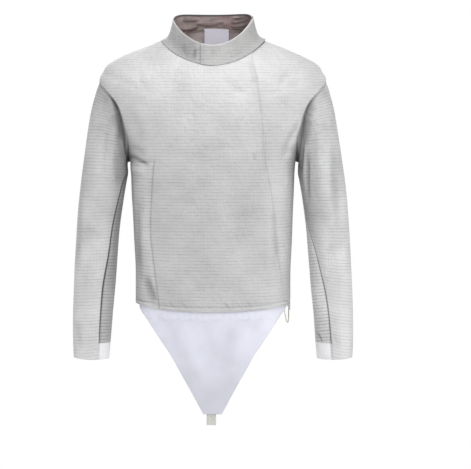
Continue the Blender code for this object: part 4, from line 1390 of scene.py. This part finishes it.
# Painted shade in the facing's creases, four times as strong as their depth
shaded_facing = shaded(plain_collar_back, 4 * facing_back_height)
facing_x = plain_collar_back.points[..., 0]
shaded_facing.shade[:] += FACING_RIM_SHADE * at_rim(plain_collar_back, FACING_RIM_WIDTH)
shaded_facing.shade[:] += FACING_END_SHADE * smoothstep((facing_x - 0.062) / 0.022)
facing_back = moved(shaded_facing, facing_back_height - FACING_INSET)
add(
    "collar_facing", "lining",
    [
        block(facing_front, (ALL, (0, LAP_START)), (ALL, (CLOSURE, FRONT_END)), free=(RIM,)),
        block(facing_back, (ALL, ALL), free=(RIM,)),
    ],
    WALL, (0.54, 0.055), lining, lining, held="laid", area=0.0245,
)

# The crotch panel, with its webbing tab
CROTCH_ROWS = 90
CROTCH_COLUMNS = 88
TAB_WIDTH = 0.019
TAB_THICKNESS = 0.0018
TAB_X = -0.0027
TAB_TOP = -0.792
TAB_BOTTOM = -0.8295
SEAM_GAP = 0.0003
SCALLOP = 0.0008
SCALLOPS_Z = -0.590


def hem_front(inset, x):
    """Depth at x of a loop that lies inside the front hem by this inset."""
    hem = Loop(*BODY[0])
    half_width, depth = hem.half_width - inset, hem.front - inset
    share = np.clip(np.abs(np.asarray(x)) / half_width, 0, 1)
    return -depth * (1 - share**hem.squareness) ** (1 / hem.squareness)


def flat_cloth(points):
    """A gridded cloth that faces the front, with its width and length."""
    normals = np.cross(np.gradient(points, axis=1), np.gradient(points, axis=0))
    normals /= np.linalg.norm(normals, axis=-1, keepdims=True)
    across = length_along(points, 1)
    across -= across[:, [points.shape[1] // 2]]
    return Cloth(points, normals, np.stack([across, points[..., 2]], -1))


def crotch_cloth():
    rows = between(CROTCH, np.linspace(len(CROTCH) - 1, 0, CROTCH_ROWS + 1))
    z, half_width, pull_back = (column[:, None] for column in rows.T)
    x = half_width * np.linspace(-1, 1, CROTCH_COLUMNS + 1)
    y = hem_front(CROTCH_INSET, x) + pull_back
    return flat_cloth(np.stack([x, y, z + 0 * x], -1))


plain_crotch = crotch_cloth()
crotch_z = plain_crotch.points[..., 2]
under_hem = smoothstep((crotch_z + 0.592) / 0.014)
behind_front = (
    creased(plain_crotch, FRONT_CREASES) + soft_waves(plain_crotch, 1.3) + hem_puckers(plain_crotch, 1.3)
)
crotch_x = plain_crotch.uv[..., 0]
scallops = SCALLOP * uneven(crotch_x, 0.014, 5) * np.exp(-(((crotch_z - SCALLOPS_Z) / 0.008) ** 2))
own_folds = creased(plain_crotch, CROTCH_CREASES) + 0.7 * soft_waves(plain_crotch, 6.0) + scallops
# The crotch panel's shade: painted shade in its folds and towards its tip, a dark wavy line below the strip, and
# the strip itself drawn lighter
strip_end = SCALLOPS_Z - 0.010 + 0.003 * uneven(crotch_x, 0.022, 2)
below_strip = 0.5 * np.exp(-(((crotch_z - strip_end) / 0.0022) ** 2)) * (0.5 + 0.5 * uneven(crotch_x, 0.031, 7))
on_strip = -0.4 * smoothstep((crotch_z - strip_end) / 0.003)
toward_tip = 0.75 * smoothstep((-0.650 - crotch_z) / 0.130)
crotch_shade = np.clip(-own_folds / SHADE_DEPTH, -LIGHTEST, DARKEST) + below_strip + on_strip + toward_tip
crotch = moved(
    plain_crotch._replace(shade=crotch_shade), behind_front * under_hem + own_folds * (1 - under_hem)
)
add(
    "crotch_panel", "white_cloth",
    [block(crotch, (ALL, ALL), free=(("row", 0), ("column", 0), ("column", CROTCH_COLUMNS)))],
    WALL, (0.35, 0.26), satin, satin, area=0.049,
)

TAB_COLUMNS, TAB_ROWS = 16, 60
TAB_RIB = 0.0021
tab_x, tab_z = np.meshgrid(
    np.linspace(TAB_X - TAB_WIDTH / 2, TAB_X + TAB_WIDTH / 2, TAB_COLUMNS + 1),
    np.linspace(TAB_BOTTOM, TAB_TOP, TAB_ROWS + 1),
)
tab_y = float(hem_front(CROTCH_INSET, 0)) + CROTCH[-1, 2] + WALL + SEAM_GAP + 0 * tab_x
plain_tab = flat_cloth(np.stack([tab_x, tab_y, tab_z], -1))
tab = moved(plain_tab, 0.00012 * (np.sin(tab_z * math.tau / TAB_RIB) - 1))
add(
    "crotch_tab", "webbing",
    [block(tab, (ALL, ALL), free=(("row", 0), ("column", 0), ("column", TAB_COLUMNS)))],
    TAB_THICKNESS - 0.0002, (TAB_WIDTH, TAB_TOP - TAB_BOTTOM), webbing, webbing,
)

# The neck label, plain, hanging from the back of the neckline
LABEL_WIDTH = 0.0532
LABEL_HEIGHT = 0.040
LABEL_X = 0.0074
LABEL_RISE = 0.0015
LABEL_THICKNESS = 0.0010
LABEL_INSET = COLLAR_WALL + WALL + 4 * LYING_GAP
LABEL_COLUMNS, LABEL_ROWS = 40, 30
neckline = Loop(*BODY[NECKLINE])
label_x = LABEL_X + LABEL_WIDTH * np.linspace(-0.5, 0.5, LABEL_COLUMNS + 1)
label_line = loop_point(neckline, math.pi - angle_at(neckline, label_x))
label_line[:, 1] -= LABEL_INSET + LABEL_THICKNESS
label_drop = LABEL_RISE - LABEL_HEIGHT * np.linspace(1, 0, LABEL_ROWS + 1)
label_points = label_line + np.array([0, 0, 1]) * label_drop[:, None, None]
plain_label = flat_cloth(label_points)
label = moved(plain_label, 0.35 * soft_waves(plain_label, 2.0))
add(
    "neck_label", "label",
    [block(label, (ALL, ALL), free=(("row", 0), ("column", 0), ("column", LABEL_COLUMNS)))],
    LABEL_THICKNESS, (LABEL_WIDTH, LABEL_HEIGHT), label_tape, label_tape,
)

# The hem loop: three strands laid together
LOOP_STEPS = 16
LOOP_FINE = 12
LOOP_SIDES = 18
LOOP_LAY = 0.0075


def loop_path():
    hem = Loop(*BODY[0])
    radius = LOOP_DIAMETER / 2
    rows = []
    for x, z, inside in LOOP_ROUTE:
        inset = WALL + inside + radius
        rows.append((x, float(hem_front(inset, min(x, hem.half_width - inset))), z))
    return between(np.array(rows), np.linspace(0, len(rows) - 1, LOOP_STEPS * LOOP_FINE // 2 + 1))


def rope(name, path, radius, material):
    """A tube along a path, with the three lobes of its strands turning round it."""
    along = np.gradient(path, axis=0)
    along /= np.linalg.norm(along, axis=-1, keepdims=True)
    side = np.cross(along, (0, 1, 0))
    side /= np.linalg.norm(side, axis=-1, keepdims=True)
    up = np.cross(side, along)
    angle = np.arange(LOOP_SIDES) * math.tau / LOOP_SIDES
    twist = length_along(path, 0)[:, None] * math.tau / LOOP_LAY
    lobes = radius * (0.80 + 0.20 * np.abs(np.cos(1.5 * (angle - twist))))
    ring = path[:, None] + side[:, None] * (lobes * np.cos(angle))[..., None]
    ring += up[:, None] * (lobes * np.sin(angle))[..., None]
    index = np.arange(ring.size // 3).reshape(ring.shape[:2])
    turned = np.roll(index, -1, 1)
    faces = np.stack([index[:-1], turned[:-1], turned[1:], index[1:]], -1).reshape(-1, 4)
    return mesh_object(name, ring.reshape(-1, 3), faces, [material])


path = loop_path()
hem_loop = rope("hem_loop_cord", path, LOOP_DIAMETER / 2, cord_fibre)
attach(hem_loop, "root")
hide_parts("hem_loop")


def sewn(name, lines, material=None, radius=THREAD_RADIUS):
    obj = stitches(name, lines, material or thread, radius)
    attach(obj, "root")


NEAR_SEAM = 0.0018
closure_side = part_of(front_lap, columns=(0, CLOSURE + 1))
sewn("closure_stitches", [edge_line(closure_side, "right", inset) for inset in (0.0025, 0.0090)])
beside_seam = part_of(front_lap, rows=(0, ARMPIT_ROW + 1), columns=(SEAM, CLOSURE + 1))
sewn("side_panel_stitches", [edge_line(beside_seam, "left", inset) for inset in (0.0016, 0.0070)])

HEM_INSETS = (0.0066, 0.0130)
hem_parts = (
    part_of(front_lap, columns=(0, CLOSURE + 1)),
    part_of(front, columns=(CLOSURE + 1, None)),
    back,
)
sewn("hem_stitches", [edge_line(part, "bottom", inset) for part in hem_parts for inset in HEM_INSETS])

low_back = part_of(back, rows=(0, ARMPIT_ROW + 1), columns=(BACK_LEFT, BACK_RIGHT + 1))
high_front = part_of(front, rows=(TIP_ROW, None))
sewn("back_stitches", [
    edge_line(low_back, "left", NEAR_SEAM), edge_line(low_back, "right", NEAR_SEAM),
    edge_line(high_front, "left", NEAR_SEAM), edge_line(high_front, "right", NEAR_SEAM),
])

for side, word in SIDE_WORD.items():
    cloth = sleeve[side]
    outer_front = part_of(cloth, columns=(0, UNDER[0] + 1))
    outer_back = part_of(cloth, columns=(UNDER[1], None))
    patch = part_of(cloth, rows=(PATCH_ROW, None), columns=(UNDER[0], UNDER[1] + 1))
    sewn(f"{word}_sleeve_stitches", [
        edge_line(outer_front, "right", NEAR_SEAM),
        edge_line(outer_back, "left", NEAR_SEAM),
        edge_line(outer_front, "top", 0.012),
        edge_line(outer_back, "top", 0.012),
    ])
    sewn(f"{word}_patch_stitches", [
        edge_line(patch, "bottom", 0.002), edge_line(patch, "top", 0.003),
        edge_line(patch, "left", 0.002), edge_line(patch, "right", 0.002),
    ], white_thread)

RIM_INSETS = (0.0030, 0.0080)
RED_RUNS = (((FINE * 8, FINE * 11), 0.0055), ((FINE * 7, FINE * 9), 0.0110), ((FINE * 7, FINE * 8), 0.0140))
RED_RADIUS = 0.0009
lap_parts = (part_of(lap_front, columns=(COLLAR_SEAM, None)), part_of(lap_back, columns=(0, BACK_LAP + 1)))
collar_parts = (part_of(collar_front, columns=(0, COLLAR_SEAM + 1)), part_of(collar_back, columns=(BACK_LAP, None)))
collar_lines = [edge_line(part, "top", inset) for part in lap_parts + collar_parts for inset in RIM_INSETS]
collar_lines += [edge_line(part, "bottom", 0.004) for part in lap_parts + collar_parts]
collar_lines.append(edge_line(lap_parts[0], "left", NEAR_SEAM))
sewn("collar_stitches", collar_lines)

facing_inside = facing_back._replace(
    points=facing_back.points - facing_back.normals * WALL, normals=-facing_back.normals
)
red_lines = [edge_line(part_of(facing_inside, columns=columns), "top", inset) for columns, inset in RED_RUNS]
sewn("facing_stitches", red_lines, red_thread, RED_RADIUS)

sewn("crotch_stitches", [
    edge_line(crotch, edge, inset) for edge in ("left", "right") for inset in (0.0020, 0.0085)
], white_thread)
sewn("label_stitches", [
    edge_line(label, edge, 0.0015) for edge in ("left", "right", "top", "bottom")
], white_thread)
sewn("tab_stitches", [edge_line(tab, edge, 0.002) for edge in ("left", "right")])

# Camera at the photo's angle
PIXEL = 0.0022
IMAGE_WIDTH = 471
DISTANCE = 3.5
ELEVATION = math.radians(4)
SENSOR = 36
AIM = Vector((0.0495, 0, -0.4235))
camera_data = bpy.data.cameras.new("camera")
camera_data.sensor_width = SENSOR
camera_data.lens = SENSOR * DISTANCE / (IMAGE_WIDTH * PIXEL)
camera = bpy.data.objects.new("camera", camera_data)
camera.location = AIM + DISTANCE * Vector((0, -math.cos(ELEVATION), math.sin(ELEVATION)))
camera.rotation_euler = (math.pi / 2 - ELEVATION, 0, 0)
bpy.context.scene.collection.objects.link(camera)
bpy.context.scene.camera = camera


def area_light(name, place, size, power_watts):
    """A soft square light that faces the jacket's middle."""
    data = bpy.data.lights.new(name, "AREA")
    data.shape = "SQUARE"
    data.size = size
    data.energy = power_watts
    light = bpy.data.objects.new(name, data)
    light.location = place
    light.rotation_euler = (Vector((0, 0, -0.35)) - Vector(place)).to_track_quat("-Z", "Y").to_euler()
    bpy.context.scene.collection.objects.link(light)


area_light("key", (0.28, -2.1, 2.6), 2.0, 94)
area_light("top", (-0.2, -0.6, 2.3), 1.2, 8)
area_light("right side", (-2.8, -0.8, -0.9), 1.6, 17)
area_light("left side", (2.8, -1.0, -0.8), 1.6, 30)
area_light("back", (-0.6, 2.8, 1.2), 1.8, 24)

AMBIENT = 0.58
world = bpy.data.worlds.new("studio")
world.use_nodes = True
world_nodes, world_links = world.node_tree.nodes, world.node_tree.links
white = world_nodes.new("ShaderNodeBackground")
white.inputs["Color"].default_value = (1, 1, 1, 1)
soft = world_nodes["Background"]
soft.inputs["Color"].default_value = (1, 1, 1, 1)
soft.inputs["Strength"].default_value = AMBIENT
seen = world_nodes.new("ShaderNodeMixShader")
world_links.new(world_nodes.new("ShaderNodeLightPath").outputs["Is Camera Ray"], seen.inputs[0])
world_links.new(soft.outputs[0], seen.inputs[1])
world_links.new(white.outputs[0], seen.inputs[2])
world_links.new(seen.outputs[0], world_nodes["World Output"].inputs["Surface"])
bpy.context.scene.world = world
bpy.context.scene.view_settings.view_transform = "Standard"

FLOOR_Z = -1.45
FLOOR_SIZE = 4
floor_material = Graph("pale floor", (0.9, 0.9, 0.9), 0.9).material
corner = FLOOR_SIZE / 2
floor_points = np.array([(-corner, -corner, FLOOR_Z), (corner, -corner, FLOOR_Z),
                         (corner, corner, FLOOR_Z), (-corner, corner, FLOOR_Z)])
floor = mesh_object("floor", floor_points, np.array([[0, 1, 2, 3]]), [floor_material])
